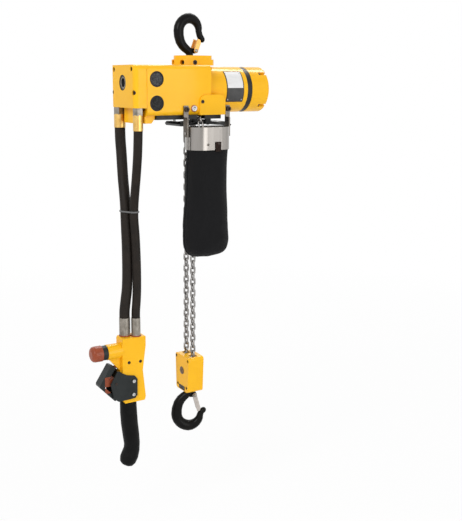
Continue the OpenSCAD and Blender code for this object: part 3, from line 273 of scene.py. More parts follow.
def materials():
    """Every material, by the record's slot or by its own name."""

    def add(name, *colours_and_rough, **finish):
        MATERIALS[name] = surface(name, *colours_and_rough, **finish)

    # Paint
    add("yellow_paint", (0.92, 0.47, 0.008), (0.97, 0.52, 0.014), (0.3, 0.42), span=(0.25, 0.75),
        coat=0.35, gloss=0.07, specular=0.05, grain=14, peel=520, peel_strength=0.06)
    add("dark_paint", 0.007, 0.016, (0.34, 0.5), specular=0.3, grain=40, peel=900)
    add("black_hook", (0.003, 0.003, 0.0033), (0.008, 0.0075, 0.007), (0.3, 0.45),
        coat=0.1, gloss=0.1, specular=0.05, grain=50, peel=420, peel_strength=0.2)

    # Steel and iron
    add("steel", 0.42, 0.6, (0.25, 0.42), metallic=1.0, grain=80, peel=1200)
    # Collar stainless: broad vertical streaks of lighter and darker metal, partly brushed grain and partly painted
    # reflection bands
    add("stainless", (0.27, 0.25, 0.23), (0.37, 0.35, 0.33), (0.16, 0.26),
        metallic=1.0, grain=26, stretch=(1, 1, 0.08), peel=160, peel_strength=0.04)
    add("strap_steel", (0.12, 0.105, 0.09), (0.21, 0.19, 0.17), (0.35, 0.5),
        metallic=1.0, grain=90, peel=1200)
    add("chain_steel", (0.2, 0.19, 0.18), (0.42, 0.41, 0.4), (0.28, 0.45),
        metallic=1.0, grain=120, peel=900)
    add("dark_screw", (0.014, 0.008, 0.006), (0.034, 0.02, 0.014), (0.35, 0.5),
        specular=0.3, grain=90, peel=1500)
    add("cylinder_iron", 0.2, 0.3, (0.4, 0.6), metallic=0.9, grain=90)
    # Inlet bore: steel thread, darkened to near black as painted shade inside the hole
    add("inlet_steel_painted_shade", 0.03, 0.07, (0.4, 0.55), metallic=0.5, specular=0.3, grain=90, peel=1100)

    # Porous metal of the silencers, lower and upper port
    porous = {"span": (0.4, 0.6), "grain": 420, "peel": 900, "peel_strength": 0.7, "peel_depth": 0.0005}
    add("silencer", 0.008, 0.03, (0.6, 0.8), specular=0.25, **porous)
    add("sintered", (0.018, 0.02, 0.021), (0.065, 0.069, 0.072), (0.5, 0.7), specular=0.3, **porous)

    # Brass, zinc, copper and bronze
    add("brass", (0.62, 0.36, 0.09), (0.82, 0.54, 0.18), (0.25, 0.42), metallic=1.0, grain=90, peel=1100)
    add("latch_brass", (0.66, 0.33, 0.08), (0.84, 0.47, 0.14), (0.3, 0.45),
        metallic=0.7, grain=70, peel=1000)
    add("latch_zinc", (0.42, 0.38, 0.35), (0.62, 0.57, 0.53), (0.28, 0.42),
        metallic=0.9, grain=70, peel=1000)
    add("zinc", (0.2, 0.18, 0.15), (0.36, 0.33, 0.29), (0.3, 0.5), metallic=1.0, grain=100, peel=1100)
    add("copper", (0.36, 0.1, 0.045), (0.5, 0.16, 0.08), (0.35, 0.5), metallic=0.6, grain=90, peel=1100)
    add("cap_bronze", (0.1, 0.062, 0.035), (0.17, 0.11, 0.065), (0.35, 0.5),
        specular=0.3, grain=80, peel=1100)

    # Plastic and rubber
    add("vane_plastic", (0.2, 0.1, 0.05), (0.3, 0.16, 0.08), (0.5, 0.7))
    add("dark_plastic", *DARK_PLASTIC, (0.38, 0.52),
        specular=0.25, grain=50, peel=1200, peel_strength=0.2)
    add("red_plastic", (0.24, 0.048, 0.018), (0.34, 0.072, 0.027), (0.3, 0.45),
        coat=0.15, specular=0.2, grain=40, peel=900)
    add("tie_plastic", 0.09, 0.14, (0.35, 0.5), grain=70, peel=1100)
    add("grip_rubber", 0.003, 0.006, (0.42, 0.58),
        specular=0.1, peel=1100, peel_strength=0.3, peel_depth=0.0003)
    MATERIALS["trigger_plastic"] = trigger_skin("trigger_plastic")
    MATERIALS["hose_rubber"] = hose_skin("hose_rubber")

    # Plates: pale field, grey field and frame
    add("plate_white", 0.7, 0.8, (0.35, 0.5), peel=900)
    add("plate_grey", 0.04, 0.07, (0.35, 0.5), specular=0.3, peel=900)
    add("plate_frame", 0.015, 0.03, (0.35, 0.5), specular=0.3, peel=900)

    # Cloth
    add("thread", 0.012, 0.022, (0.7, 0.85), specular=0.15, grain=400, peel=2600, peel_strength=0.5)
    MATERIALS["webbing"] = fabric("webbing", (0.01, 0.005, 0.004), (0.035, 0.018, 0.013),
                                  threads_u=14, threads_v=60)
    MATERIALS["bag_fabric"] = fabric("bag_fabric", (0.0025, 0.0025, 0.003), (0.011, 0.011, 0.012),
                                     threads_u=420, threads_v=380)


# Mesh helpers

def piece(name, bm, slot, body=None, material=None, smooth=True):
    """Turns a bmesh into a piece with its material, that of its slot unless another is named, and its body."""
    mesh = bpy.data.meshes.new(name)
    bmesh.ops.recalc_face_normals(bm, faces=bm.faces)
    bm.to_mesh(mesh)
    bm.free()
    for f in mesh.polygons:
        f.use_smooth = smooth
    obj = bpy.data.objects.new(name, mesh)
    scene.collection.objects.link(obj)
    mesh.materials.append(MATERIALS[material or slot])
    if body:
        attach(obj, body)
    return obj


def soften(obj, width, angle=30, segments=2):
    """Rounded edges on an object, where its faces meet at more than an angle."""
    bevel = obj.modifiers.new("bevel", "BEVEL")
    bevel.width = width
    bevel.segments = segments
    bevel.limit_method = "ANGLE"
    bevel.angle_limit = math.radians(angle)


def loft(bm, rings, closed_ends=True, uv=False):
    """Skins rings of points into bm, with optional UV round and along."""
    layer = bm.loops.layers.uv.verify() if uv else None
    rows = [[bm.verts.new(p) for p in points] for points in rings]
    count = len(rings[0])
    for i in range(len(rows) - 1):
        for j in range(count):
            k = (j + 1) % count
            face = bm.faces.new((rows[i][j], rows[i][k], rows[i + 1][k], rows[i + 1][j]))
            if uv:
                spots = ((j, i), (j + 1, i), (j + 1, i + 1), (j, i + 1))
                for loop, (a, b) in zip(face.loops, spots):
                    loop[layer].uv = (a / count, b / (len(rows) - 1))
    if closed_ends:
        bm.faces.new(rows[0])
        bm.faces.new(list(reversed(rows[-1])))
    return bm


def hoop(bm, profiles):
    """Joins closed profiles, set in a circle, into a closed hoop."""
    rows = [[bm.verts.new(p) for p in profile] for profile in profiles]
    count = len(rows[0])
    for a, b in zip(rows, rows[1:] + rows[:1]):
        for k in range(count):
            bm.faces.new((a[k], a[(k + 1) % count], b[(k + 1) % count], b[k]))


def spread(low, high, steps):
    """Numbers from low to high in even steps."""
    return [low + (high - low) * i / steps for i in range(steps + 1)]


def angles(sides):
    """Angles evenly round a circle."""
    return [2 * math.pi * j / sides for j in range(sides)]


def spokes(axis, sides):
    """Angles evenly round an axis, each with its direction."""
    side = axis.orthogonal().normalized()
    up = axis.cross(side)
    return [(a, math.cos(a) * side + math.sin(a) * up) for a in angles(sides)]


def lathe(bm, profile, at, axis, sides=28):
    """Turns (radius, height) pairs about an axis through at; a radius may be a function of the angle."""
    axis = Vector(axis).normalized()
    rings = []
    for radius, height in profile:
        middle = Vector(at) + height * axis
        rings.append([middle + (radius(a) if callable(radius) else radius) * out
                      for a, out in spokes(axis, sides)])
    loft(bm, rings)


def flat_ring(bm, at, axis, inner, outer, height):
    """Flat ring with eased edges that stands on at."""
    sides = 44
    axis = Vector(axis).normalized()
    ease = 0.3 * height
    section = [(inner, 0), (outer, 0), (outer, height - ease),
               (outer - ease, height), (inner + ease, height), (inner, height - ease)]
    hoop(bm, [[Vector(at) + r * out + h * axis for r, h in section] for _, out in spokes(axis, sides)])


def hexagon(r):
    """Radius of a hexagon with corner radius r, as a function of the angle."""
    sixth = math.pi / 3
    return lambda a: r * math.cos(sixth / 2) / math.cos(a % sixth - sixth / 2)


def socket_head(bm, at, axis, r, h):
    """Round screw head with a hexagon socket."""
    lathe(bm, [(r, 0), (r, 0.8 * h), (0.92 * r, h), (hexagon(0.58 * r), h), (hexagon(0.52 * r), 0.3 * h),
               (0.05 * r, 0.2 * h)], at, axis, sides=36)


def rivet(bm, at, axis, r):
    """Domed rivet head."""
    lathe(bm, [(r, -0.1 * r), (r, 0.15 * r), (0.9 * r, 0.36 * r), (0.68 * r, 0.52 * r),
               (0.38 * r, 0.62 * r), (0.05 * r, 0.66 * r)], at, axis)


def spline(points, steps):
    """Smooth line through points."""
    points = [Vector(p) for p in points]
    out = []
    for i in range(len(points) - 1):
        a, b = points[max(i - 1, 0)], points[i]
        c, d = points[i + 1], points[min(i + 2, len(points) - 1)]
        for s in range(steps):
            t = s / steps
            out.append(0.5 * (2 * b + (c - a) * t + (2 * a - 5 * b + 4 * c - d) * t * t
                              + (3 * b - a - 3 * c + d) * t ** 3))
    out.append(points[-1])
    return out


def tube_rings(path, radius, sides):
    """Rings of a round tube along a path."""
    rings = []
    side = Vector((0, 1, 0))
    for i, p in enumerate(path):
        along = (path[min(i + 1, len(path) - 1)] - path[max(i - 1, 0)]).normalized()
        u = along.cross(side).normalized()
        v = along.cross(u)
        rings.append([p + radius * (math.cos(a) * u + math.sin(a) * v) for a in angles(sides)])
    return rings


def point_at(path, z):
    """Point of a falling path at height z."""
    for a, b in zip(path, path[1:]):
        if a.z >= z >= b.z:
            return a.lerp(b, (a.z - z) / (a.z - b.z))
    raise ValueError("the path does not reach that height")


def fade(t):
    """Smooth step from 0 to 1."""
    t = min(1, max(0, t))
    return t * t * (3 - 2 * t)


# Hoses: the routes of the CAD solids

# Middle of the two outlets, and the bends as seen from there, in millimetres
OUTLETS = Vector((-131, 0, -157))
LARGE_BENDS = [
    (0, 43, -39), (0.5, 43, -63), (1, 40.5, -88), (0, 35.5, -113), (-2, 28, -138), (-3.5, 20, -163),
    (-5, 13, -188), (-6, 9.5, -213), (-6, 8, -238), (-5.5, 7.5, -263), (-5.5, 7, -293), (-6, 6.5, -323),
    (-7.5, 6.2, -353), (-11, 6, -378), (-13.5, 6, -397), (-14, 6, -411.6)]
SMALL_BENDS = [
    (0, -39, -42), (-0.5, -38.5, -65), (-0.5, -36, -89), (0, -31, -113), (1, -24, -138), (2, -16.5, -163),
    (3, -10, -188), (3.5, -8, -213), (5, -8.5, -238), (6.5, -8, -263), (7.5, -7.8, -293), (8, -7.5, -323),
    (8, -7, -353), (7, -6.3, -378), (5.5, -6, -397), (5, -6, -411.6)]
LARGE_PATH, SMALL_PATH = (spline([(OUTLETS + Vector(p)) * MM for p in bends], steps=4)
                          for bends in (LARGE_BENDS, SMALL_BENDS))
LARGE_R = 0.0104
SMALL_R = 0.0086


def hoses():
    """Both hoses, from their outlets to the pendant."""
    for name, path, radius in (("large_hose", LARGE_PATH, LARGE_R), ("small_hose", SMALL_PATH, SMALL_R)):
        rings = tube_rings(path, radius, sides=28)
        obj = piece(name + "_run", loft(bmesh.new(), rings, uv=True), "hose_rubber")
        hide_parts(name)
        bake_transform(obj)


def hose_tie():
    """Thin strap round both hoses, with its lock."""
    z, height, thick, slack = -0.3555, 0.0036, 0.0014, 0.0005
    edge_share, lock_share = 0.7, 0.45
    big = point_at(LARGE_PATH, z)
    small = point_at(SMALL_PATH, z)
    r0, r1 = LARGE_R + slack, SMALL_R + slack
    gap = small - big
    turn = math.atan2(gap.y, gap.x)
    lean = math.acos((r0 - r1) / gap.length)
    bends = [(big, r0, a) for a in spread(turn + lean, turn + 2 * math.pi - lean, 24)]
    bends += [(small, r1, a) for a in spread(turn - lean, turn + lean, 16)]
    half = Vector((0, 0, height / 2))
    edge = half * edge_share
    profiles = []
    for middle, r, a in bends:
        out = Vector((math.cos(a), math.sin(a), 0))
        inner, outer = middle + out * r, middle + out * (r + thick)
        profiles.append([inner + half, outer + edge, outer - edge, inner - half])
    bm = bmesh.new()
    hoop(bm, profiles)
    side = Vector((math.cos(turn + math.pi / 2), math.sin(turn + math.pi / 2), 0))
    at = big + gap * lock_share + side * ((r0 + r1) / 2 + thick)
    lathe(bm, [(0.0024, -0.001), (0.0028, 0.0012), (0.0022, 0.0026), (0.0008, 0.0028)], at, side, sides=4)
    strap = piece("hose_tie", bm, "dark_plastic", None, "tie_plastic", smooth=False)
    soften(strap, 0.0003)
    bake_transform(strap)


# Chain bag: a sewn shell that hangs inside the collar and sags with the chain

BAG_W = 0.088
BAG_D = 0.058
BAG_H = 0.209
BAG_SIDES = 96
BAG_HINGE = Vector(JOINTS["bag"]["pos_m"])
COLLAR_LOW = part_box("bag_collar")[0].z
# Height as a share of the bag, extra width and extra depth, in millimetres
BAG_STATIONS = [(-0.05, -3.6, -3.6), (0.0, -3.6, -3.6), (0.03, -4.6, -3), (0.1, -5, -1), (0.25, -3.5, 0),
                (0.5, 0.5, 1), (0.7, 5, 2), (0.82, 7, 2), (0.89, 6, 0), (0.94, 1.5, -5), (0.972, -7, -14),
                (0.992, -20, -27), (1.003, -40, -42), (1.006, -56, -54)]
# How far the cloth hangs to the left, folds, lies in lumps, bulges over the chain and lifts at its ends
BAG_SWAY = 0.0027
FOLD_H = 0.0009
LUMP_H = 0.0022
PILE_H = 0.0012
LIFT_LEFT = 0.0035
LIFT_RIGHT = 0.005
# Lumps and bulges to the metre
LUMPS = Vector((26, 26, 17))
PILES = Vector((70, 70, 70))


def stadium(w, d, s):
    """Point and outward normal of a flat-sided oval at share s of the way round, from its +X end."""
    straight, arc = w - d, math.pi * d / 2
    half = straight + arc
    way = s % 1 * 2 * half
    flip = -1 if way >= half else 1
    way -= half if flip < 0 else 0
    if way < arc / 2:
        a = way * 2 / d
        x, n = straight / 2 + d / 2 * math.cos(a), (math.cos(a), math.sin(a))
        y = d / 2 * math.sin(a)
    elif way < arc / 2 + straight:
        x, y, n = straight / 2 - (way - arc / 2), d / 2, (0, 1)
    else:
        a = math.pi / 2 + (way - arc / 2 - straight) * 2 / d
        x, n = d / 2 * math.cos(a) - straight / 2, (math.cos(a), math.sin(a))
        y = d / 2 * math.sin(a)
    return Vector((flip * x, flip * y, 0)), Vector((flip * n[0], flip * n[1], 0))


def bag_profile():
    """The bag's stations, with smooth steps between them."""
    return spline(BAG_STATIONS, steps=5)


def station_at(stations, share):
    """Station of the profile at a share of the bag's height."""
    for a, b in zip(stations, stations[1:]):
        if a[0] <= share <= b[0]:
            return a.lerp(b, (share - a[0]) / max(b[0] - a[0], 1e-9))
    return stations[-1]


def bag_point(station, s, proud=0.0):
    """Point of the bag at a station of its profile and share s round it, proud of the cloth."""
    share, wider, deeper = station
    flat, normal = stadium(BAG_W + wider * MM, BAG_D + deeper * MM, s)
    sway = -BAG_SWAY * fade(share / 0.2)
    p = Vector((BAG_HINGE.x + sway, BAG_HINGE.y, COLLAR_LOW - BAG_H * share)) + flat
    loose = fade(share / 0.25) * (1 - 0.7 * fade((share - 0.85) / 0.15))
    fold = FOLD_H * math.sin(2 * math.pi * (5 * s + 0.4 * share) + 0.7) * (1 - 0.5 * share)
    lump = LUMP_H * noise.noise(p * LUMPS)
    pile = PILE_H * noise.noise(p * PILES) * fade((share - 0.55) / 0.2)
    end_lift = LIFT_RIGHT if flat.x > 0 else LIFT_LEFT
    lift = end_lift * fade((share - 0.7) / 0.3) * abs(flat.x) / (BAG_W / 2)
    return p + normal * (proud + loose * (fold + lump + pile)) + Vector((0, 0, lift))


def stitches(bm, points, normals, length, radius):
    """Row of sewn stitches: short bent threads lying on the cloth."""
    # Share along a stitch, and rise above the cloth in radii of the thread
    bends = [(0, -1), (0.2, 0.6), (0.8, 0.6), (1, -1)]
    longest, sides = 0.8, 6
    for start, end, normal in zip(points, points[1:], normals):
        along = end - start
        if along.length < 1e-6:
            continue
        step = along.normalized() * min(length, longest * along.length)
        side = normal.cross(along).normalized()
        path = [start + step * share + normal * radius * rise for share, rise in bends]
        circle = [radius * (math.cos(a) * side + math.sin(a) * normal) for a in angles(sides)]
        loft(bm, [[p + out for out in circle] for p in path])


def chain_bag():
    """Bag shell, the piping round its sides and bottom, and the stitches beside the piping."""
    cloth, piping_r, thread_r = 0.0013, 0.0012, 0.00035
    stations = bag_profile()
    rings = [[bag_point(st, j / BAG_SIDES) for j in range(BAG_SIDES)] for st in stations]
    bm = loft(bmesh.new(), rings, closed_ends=False, uv=True)
    bm.verts.ensure_lookup_table()
    bm.faces.new(bm.verts[-BAG_SIDES:])
    shell = piece("bag_shell", bm, "bag_fabric", "bag")
    thick = shell.modifiers.new("cloth", "SOLIDIFY")
    thick.thickness = cloth
    thick.offset = -1
    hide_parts("chain_bag")

    below_collar, piping_proud = 0.01, 0.0004
    sides = [st for st in stations if st[0] > below_collar]
    left = [bag_point(st, 0.5, piping_proud) for st in sides]
    right = [bag_point(st, 0.0, piping_proud) for st in reversed(sides)]
    seam = tube_rings(spline(left + right, steps=2), piping_r, sides=10)
    piping = piece("bag_piping", loft(bmesh.new(), seam, uv=True), "bag_fabric", "bag")

    bm = bmesh.new()
    count, sewn_from, sewn_to, beside, proud = 44, 0.03, 0.9, 0.0065, 0.0002
    girth = 2 * (BAG_W - BAG_D) + math.pi * BAG_D
    row = [station_at(stations, share) for share in spread(sewn_from, sewn_to, count)]
    for middle in (0.0, 0.5):
        for shift in (-beside, beside):
            s = middle + shift / girth
            points = [bag_point(st, s, proud) for st in row]
            stitches(bm, points, [stadium(BAG_W, BAG_D, s)[1]] * len(row), length=0.003, radius=thread_r)
    sewing = piece("bag_stitches", bm, "bag_fabric", "bag", "thread")


def bag_tab():
    """Webbing tab on the front of the collar, sewn to the bag below it."""
    left, right = 0.0058, 0.0175
    top, low = -0.2205, -0.2395
    thick, crown, swell, gap = 0.0014, 0.0003, 0.0006, 0.0004
    last, sewn_from, sewn_to, rivet_row = 18, 10, 17, 3
    thread_r, inset, rivet_r = 0.0003, 0.0018, 0.0026
    share_round = 0.72
    front = BAG_HINGE.y - BAG_D / 2
    middle = (left + right) / 2
    stations = bag_profile()
    heights = spread(top, low, last)
    rings = []
    faces = []
    for i, z in enumerate(heights):
        share = (COLLAR_LOW - z) / BAG_H
        back = front
        if share > 0:
            back = min(front, bag_point(station_at(stations, share), share_round).y)
        back -= gap
        face = back - thick - swell * fade(i / 2) * fade((last - i) / 2)
        rings.append([Vector(p) for p in ((left, back, z), (right, back, z), (right, face, z),
                                          (middle, face - crown, z), (left, face, z))])
        faces.append(face)
    tab = piece("bag_tab", loft(bmesh.new(), rings, uv=True), "bag_fabric", "bag", "webbing")
    soften(tab, 0.0004)

    bm = bmesh.new()

    def sew(spots, length):
        points = [Vector((x, faces[i] - thread_r, heights[i])) for x, i in spots]
        stitches(bm, points, [Vector(FRONT)] * len(points), length, thread_r)

    x0, x1 = left + inset, right - inset
    for x in (x0, x1):
        sew([(x, i) for i in range(sewn_from, sewn_to + 1)], length=0.002)
    for i in (sewn_from, sewn_to):
        sew([(x, i) for x in spread(x0, x1, 5)], length=0.0015)
    piece("bag_tab_stitches", bm, "bag_fabric", "bag", "thread")
    bm = bmesh.new()
    rivet(bm, (middle, faces[rivet_row], heights[rivet_row]), FRONT, rivet_r)
    piece("bag_tab_rivet", bm, "dark_screw", "bag")


def collar_rivets():
    """Rivets that hold the cloth to the collar, on its front and back."""
    height, rivet_r = 0.0105, 0.0024
    middle = Vector((BAG_HINGE.x, BAG_HINGE.y, COLLAR_LOW + height))
    bm = bmesh.new()
    for s in (0.19, 0.31, 0.69):
        flat, normal = stadium(BAG_W, BAG_D, s)
        rivet(bm, middle + flat, normal, rivet_r)
    piece("collar_rivets", bm, "steel", "bag", "strap_steel")


# Small pieces on the body

def data_plate():
    """Blank data plate wrapped on the motor: a pale field over a grey one in a dark frame."""
    inset_left, inset_right = 0.011, 0.0095
    proud, sunk = 0.0007, 0.0003
    bottom, top = math.radians(-31), math.radians(52)
    # Sides of the frame, top of the grey field and first row of the pale one, as shares of the plate
    edge_u, edge_v, split, first_row = 0.045, 0.03, 0.43, 0.02
    grey_rows = 8
    in_frame, in_white, in_grey = 0, 1, 2
    low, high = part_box("motor_housing")
    radius = (high.z - low.z) / 2
    axis_z = (high.z + low.z) / 2
    left, right = low.x + inset_left, high.x - inset_right
    us = [0] + spread(edge_u, 1 - edge_u, 12) + [1]
    vs = [0] + spread(edge_v, split, grey_rows) + spread(split + first_row, 1 - edge_v, 10) + [1]

    def at(u, v, r):
        a = bottom + (top - bottom) * v
        return Vector((left + (right - left) * u, -r * math.cos(a), axis_z + r * math.sin(a)))

    bm = bmesh.new()
    outer = [[bm.verts.new(at(u, v, radius + proud)) for u in us] for v in vs]
    inner = [[bm.verts.new(at(u, v, radius - sunk)) for u in us] for v in vs]
    rows, cols = len(vs), len(us)
    for i in range(rows - 1):
        for j in range(cols - 1):
            face = bm.faces.new((outer[i][j], outer[i][j + 1], outer[i + 1][j + 1], outer[i + 1][j]))
            if i in (0, rows - 2) or j in (0, cols - 2):
                face.material_index = in_frame
            else:
                face.material_index = in_grey if i <= grey_rows else in_white
            bm.faces.new((inner[i][j], inner[i + 1][j], inner[i + 1][j + 1], inner[i][j + 1]))
    for i in range(rows - 1):
        bm.faces.new((outer[i][0], outer[i + 1][0], inner[i + 1][0], inner[i][0]))
        bm.faces.new((outer[i][-1], inner[i][-1], inner[i + 1][-1], outer[i + 1][-1]))
    for j in range(cols - 1):
        bm.faces.new((outer[0][j], inner[0][j], inner[0][j + 1], outer[0][j + 1]))
        bm.faces.new((outer[-1][j], outer[-1][j + 1], inner[-1][j + 1], inner[-1][j]))
    plate = piece("data_plate", bm, "steel", "hoist", "plate_frame")
    for field in ("plate_white", "plate_grey"):
        plate.data.materials.append(MATERIALS[field])

    rivet_r, rivet_proud = 0.0013, 0.0006
    bm = bmesh.new()
    for u in (0.1, 0.9):
        for v in (0.07, 0.93):
            spot = at(u, v, radius + rivet_proud)
            rivet(bm, spot, (0, spot.y, spot.z - axis_z), rivet_r)
    piece("data_plate_rivets", bm, "steel", "hoist")


def oil_plug():
    """Socket plug on a copper washer, low on the front of the gear housing."""
    washer_h = 0.0011
    at = Vector((-0.0195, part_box("valve_cover")[0].y, -0.159))
    bm = bmesh.new()
    lathe(bm, [(0.0067, -0.0003), (0.0067, 0.0008), (0.0063, 0.0012), (0.0045, 0.0012)], at, FRONT)
    piece("oil_plug_washer", bm, "brass", "hoist", "copper")
    bm = bmesh.new()
    socket_head(bm, at + washer_h * Vector(FRONT), FRONT, r=0.0053, h=0.0019)
    piece("oil_plug", bm, "steel", "hoist")


def pad_screw():
    """Screw in the pad on the front of the gear housing."""
    sunk = 0.0002
    at = (-0.0028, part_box("gear_housing")[0].y + sunk, -0.1465)
    bm = bmesh.new()
    socket_head(bm, at, FRONT, r=0.0033, h=0.0012)
    piece("pad_screw", bm, "dark_screw", "hoist")


def pendant_washers():
    """Red fibre washers under the hose fittings of the pendant."""
    bore_share, lip, height = 0.6, 0.0017, 0.0022
    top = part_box("pendant_body")[1].z
    bm = bmesh.new()
    for path, r in ((LARGE_PATH, LARGE_R), (SMALL_PATH, SMALL_R)):
        end = path[-1]
        flat_ring(bm, (end.x, end.y, top), UP, bore_share * r, r + lip, height)
    piece("pendant_washers", bm, "red_plastic", "pendant")


def silencer_rings():
    """Retaining rings over the edges of the exhaust silencers."""
    width, clearance, height = 0.0024, 0.0001, 0.0016
    low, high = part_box("exhaust_silencers")
    r = (high.x - low.x) / 2
    bm = bmesh.new()
    for z in (low.z + r, high.z - r):
        flat_ring(bm, ((low.x + high.x) / 2, low.y, z), FRONT, r - width, r - clearance, height)
    piece("silencer_rings", bm, "dark_paint", "hoist")


def inlet_seal():
    """Dark seal and plain bush in the recess of the air inlet."""
    # Name, slot, material, then inner radius, outer radius and height
    rings = [("inlet_seal", "dark_paint", "dark_paint", 0.0112, 0.0144, 0.0015),
             ("inlet_bush", "steel", "zinc", 0.0086, 0.0111, 0.0012)]
    for name, slot, material, inner, outer, height in rings:
        bm = bmesh.new()
        flat_ring(bm, MOUNTS["air_inlet"], LEFT, inner, outer, height)
        piece(name, bm, slot, "hoist", material)


def block_plate():
    """Small blank plate with a raised rim, low on the left face of the hook block."""
    y0, y1, z0, z1 = -0.0115, 0.0122, -0.7432, -0.7342
    rim, field, proud, sunk = 0.0016, 0.0004, 0.0008, 0.0002
    rivet_r = 0.0011
    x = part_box("block_left")[0].x
    outer = [(y0, z0), (y1, z0), (y1, z1), (y0, z1)]
    inner = [(y0 + rim, z0 + rim), (y1 - rim, z0 + rim), (y1 - rim, z1 - rim), (y0 + rim, z1 - rim)]
    layers = [(outer, sunk), (outer, -proud), (inner, -proud), (inner, field - proud)]
    rings = [[Vector((x + lift, y, z)) for y, z in corners] for corners, lift in layers]
    plate = piece("block_plate", loft(bmesh.new(), rings), "dark_paint", "hook_block", "plate_frame",
                  smooth=False)
    soften(plate, 0.0002)
    bm = bmesh.new()
    for y in (y0 + 3 * rim, y1 - 3 * rim):
        rivet(bm, (x + field - proud, y, (z0 + z1) / 2), LEFT, rivet_r)
    piece("block_plate_rivets", bm, "steel", "hook_block", "zinc")


def axle_cap():
    """Cap over the end of the idler's axle, on the left face of the hook block."""
    profile = [(0.0082, -0.0002), (0.0082, 0.0006), (0.0076, 0.0011), (0.0036, 0.0014),
               (hexagon(0.0034), 0.0013), (hexagon(0.0031), 0.0005), (0.0003, 0.0004)]
    at = Vector(JOINTS["idler"]["pos_m"])
    at.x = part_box("block_left")[0].x
    bm = bmesh.new()
    lathe(bm, profile, at, LEFT, sides=36)
    piece("axle_cap", bm, "steel", "hook_block", "cap_bronze")


def latch_rivets():
    """Domed ends on the latch pins."""
    rivet_r = 0.0036
    for node_name, body in (("top_latch", "upper_latch"), ("load_latch", "lower_latch")):
        at, axis = Vector(JOINTS[body]["pos_m"]), Vector(JOINTS[body]["axis"]).normalized()
        reach = max(abs((v.co - at).dot(axis)) for v in NODES[node_name].data.vertices)
        bm = bmesh.new()
        for s in (-1, 1):
            rivet(bm, at + axis * s * reach, axis * s, rivet_r)
        piece(node_name + "_rivets", bm, "steel", body, "zinc")


# Studio

def seen(tree):
    """1 for rays from the eye, also by way of a mirror or glass."""
    path = tree.nodes.new("ShaderNodeLightPath")
    ray = maths(tree, "MAXIMUM", path.outputs["Is Camera Ray"], path.outputs["Is Glossy Ray"])
    return maths(tree, "MAXIMUM", ray, path.outputs["Is Transmission Ray"])


def floor():
    """Pale floor that keeps a soft shadow and fades to white with distance."""
    floor_z, half_size, per_metre = -1.02, 30, 0.2
    bm = bmesh.new()
    bmesh.ops.create_grid(bm, x_segments=2, y_segments=2, size=half_size)
    mesh = bpy.data.meshes.new("floor")
    bm.to_mesh(mesh)
    bm.free()
    obj = bpy.data.objects.new("floor", mesh)
    obj.location.z = floor_z
    scene.collection.objects.link(obj)
    m, tree, shader = tree_of("floor")
    shader.inputs["Base Color"].default_value = (0.86, 0.86, 0.86, 1)
    shader.inputs["Roughness"].default_value = 0.9
    glow = node(tree, "ShaderNodeEmission", Color=(1, 1, 1, 1), Strength=1.0)
    mix = tree.nodes.new("ShaderNodeMixShader")
    away = node(tree, "ShaderNodeVectorMath", operation="LENGTH")
    tree.links.new(place(tree, (per_metre,) * 3), away.inputs[0])
    white = ramp(tree, away.outputs["Value"], 0.88, 1.0, span=(0.12, 0.5))
    tree.links.new(times(tree, seen(tree), white), mix.inputs["Fac"])
    tree.links.new(shader.outputs["BSDF"], mix.inputs[1])
    tree.links.new(glow.outputs["Emission"], mix.inputs[2])
    tree.links.new(mix.outputs["Shader"], tree.nodes["Material Output"].inputs["Surface"])
    mesh.materials.append(m)


def sky():
    """World that lights the object softly and shows as white."""
    light, shown = 0.4, 1.0
    world = bpy.data.worlds.new("studio")
    world.use_nodes = True
    scene.world = world
    tree = world.node_tree
    back = tree.nodes["Background"]
    back.inputs["Color"].default_value = (1, 1, 1, 1)
    strength = maths(tree, "ADD", times(tree, seen(tree), shown - light), light)
    tree.links.new(strength, back.inputs["Strength"])


def lamps():
    """Soft area lamps, aimed at the middle of the hoist."""
    target = Vector((0, 0, -0.4))
    # Name, place, size across and along, power
    rows = [("key", (-2.4, -1.3, 1.3), (1.6, 1.6), 52), ("fill", (1.9, -1.6, 0.3), (1.8, 1.8), 2.5),
            ("strip", (1.05, 0.85, 1.5), (1.4, 0.4), 22), ("front", (0.45, -2.15, -0.2), (1.3, 1.6), 15),
            ("back", (0.6, 2.2, 0.8), (1.6, 1.6), 12)]
    for name, at, (across, along), power in rows:
        data = bpy.data.lights.new(name, "AREA")
        data.shape = "RECTANGLE"
        data.size = across
        data.size_y = along
        data.energy = power
        lamp = bpy.data.objects.new(name, data)
        lamp.location = at
        aim = target - lamp.location
        lamp.rotation_euler = aim.to_track_quat("-Z", "Y").to_euler()
        scene.collection.objects.link(lamp)


# Finish of the CAD nodes

# Nodes with a material other than their slot's
OWN_MATERIAL = {
    "bag_collar": "stainless", "bag_hangers": "strap_steel", "pendant_fittings": "zinc",
    "top_latch": "latch_brass", "load_latch": "latch_zinc", "trigger": "trigger_plastic"}
# Width of the softened edges, in millimetres
EDGE_WIDTH = {
    "gear_housing": 1.2, "valve_cover": 1.5, "valve_block": 1.2, "suspension_bracket": 1.2,
    "block_left": 1.5, "block_right": 1.5, "pendant_body": 2.5, "motor_end_cap": 0.8, "guard_plates": 0.8,
    "trigger": 1.0, "limit_lever": 0.6, "chain_guide": 0.8, "stop_button": 1.2, "stop_collar": 0.4,
    "motor_housing": 0.6, "bag_hangers": 0.5, "hose_fittings": 0.5, "pendant_fittings": 0.5,
    "top_latch": 0.4, "load_latch": 0.4}
# Faceted nodes that are shaded as round
ROUNDED = ("top_hook", "load_hook", "grip")


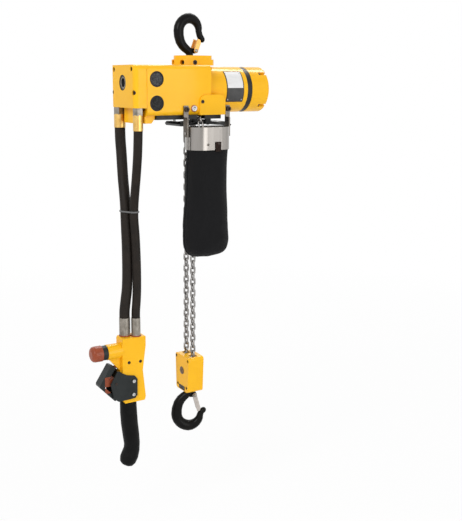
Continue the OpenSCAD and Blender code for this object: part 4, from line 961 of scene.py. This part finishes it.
def dress():
    """Materials and softened edges on the CAD nodes that stay."""
    sharp_angle, bevel_angle, round_angle = 32, 40, 50
    merge, weight = 0.00002, 90
    slots = {s["node"]: s["material_slot"] for s in frame["record"]["subparts"]}
    for name, obj in NODES.items():
        mesh = obj.data
        mesh.materials.clear()
        mesh.materials.append(MATERIALS[OWN_MATERIAL.get(name, slots[name])])
        for f in mesh.polygons:
            f.use_smooth = True
        mesh.set_sharp_from_angle(angle=math.radians(sharp_angle))
        if name not in EDGE_WIDTH and name not in ROUNDED:
            continue
        weld = obj.modifiers.new("weld", "WELD")
        weld.merge_threshold = merge
        if name in EDGE_WIDTH:
            soften(obj, EDGE_WIDTH[name] * MM, bevel_angle, segments=3)
        else:
            split = obj.modifiers.new("split", "EDGE_SPLIT")
            split.split_angle = math.radians(round_angle)
        even = obj.modifiers.new("even", "WEIGHTED_NORMAL")
        even.weight = weight
        even.keep_sharp = name in EDGE_WIDTH


def repaint(node_name, material, wanted):
    """Another material on the faces of a node whose middle passes a test."""
    mesh = NODES[node_name].data
    mesh.materials.append(MATERIALS[material])
    for f in mesh.polygons:
        if wanted(f.center):
            f.material_index = len(mesh.materials) - 1


def details():
    """Parts of a node that have a finish of their own, and painted shade in the inlet bore."""
    nut_drop, pin_r, inlet_r = 0.0142, 0.005, 0.0147
    nuts_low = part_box("valve_cover")[0].z - nut_drop
    guards_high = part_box("guard_plates")[1].z
    pivot = Vector(JOINTS["rocker"]["pos_m"])
    inlet = MOUNTS["air_inlet"]
    ports_low, ports_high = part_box("exhaust_silencers")
    ports_middle = (ports_low.z + ports_high.z) / 2
    repaint("hose_fittings", "zinc", lambda p: p.z > nuts_low)
    repaint("guard_screws", "dark_screw",
            lambda p: p.z > guards_high or math.hypot(p.x - pivot.x, p.z - pivot.z) < pin_r)
    # Near-black steel on the inlet bore and recess wall: steel thread with painted shade inside the hole
    repaint("valve_cover", "inlet_steel_painted_shade", lambda p: math.hypot(p.y - inlet.y, p.z - inlet.z) < inlet_r)
    repaint("exhaust_silencers", "sintered", lambda p: p.z > ports_middle)


camera()
materials()
hoses()
chain_bag()
bag_tab()
collar_rivets()
data_plate()
oil_plug()
pad_screw()
pendant_washers()
silencer_rings()
inlet_seal()
block_plate()
axle_cap()
hose_tie()
latch_rivets()
floor()
sky()
lamps()
dress()
details()
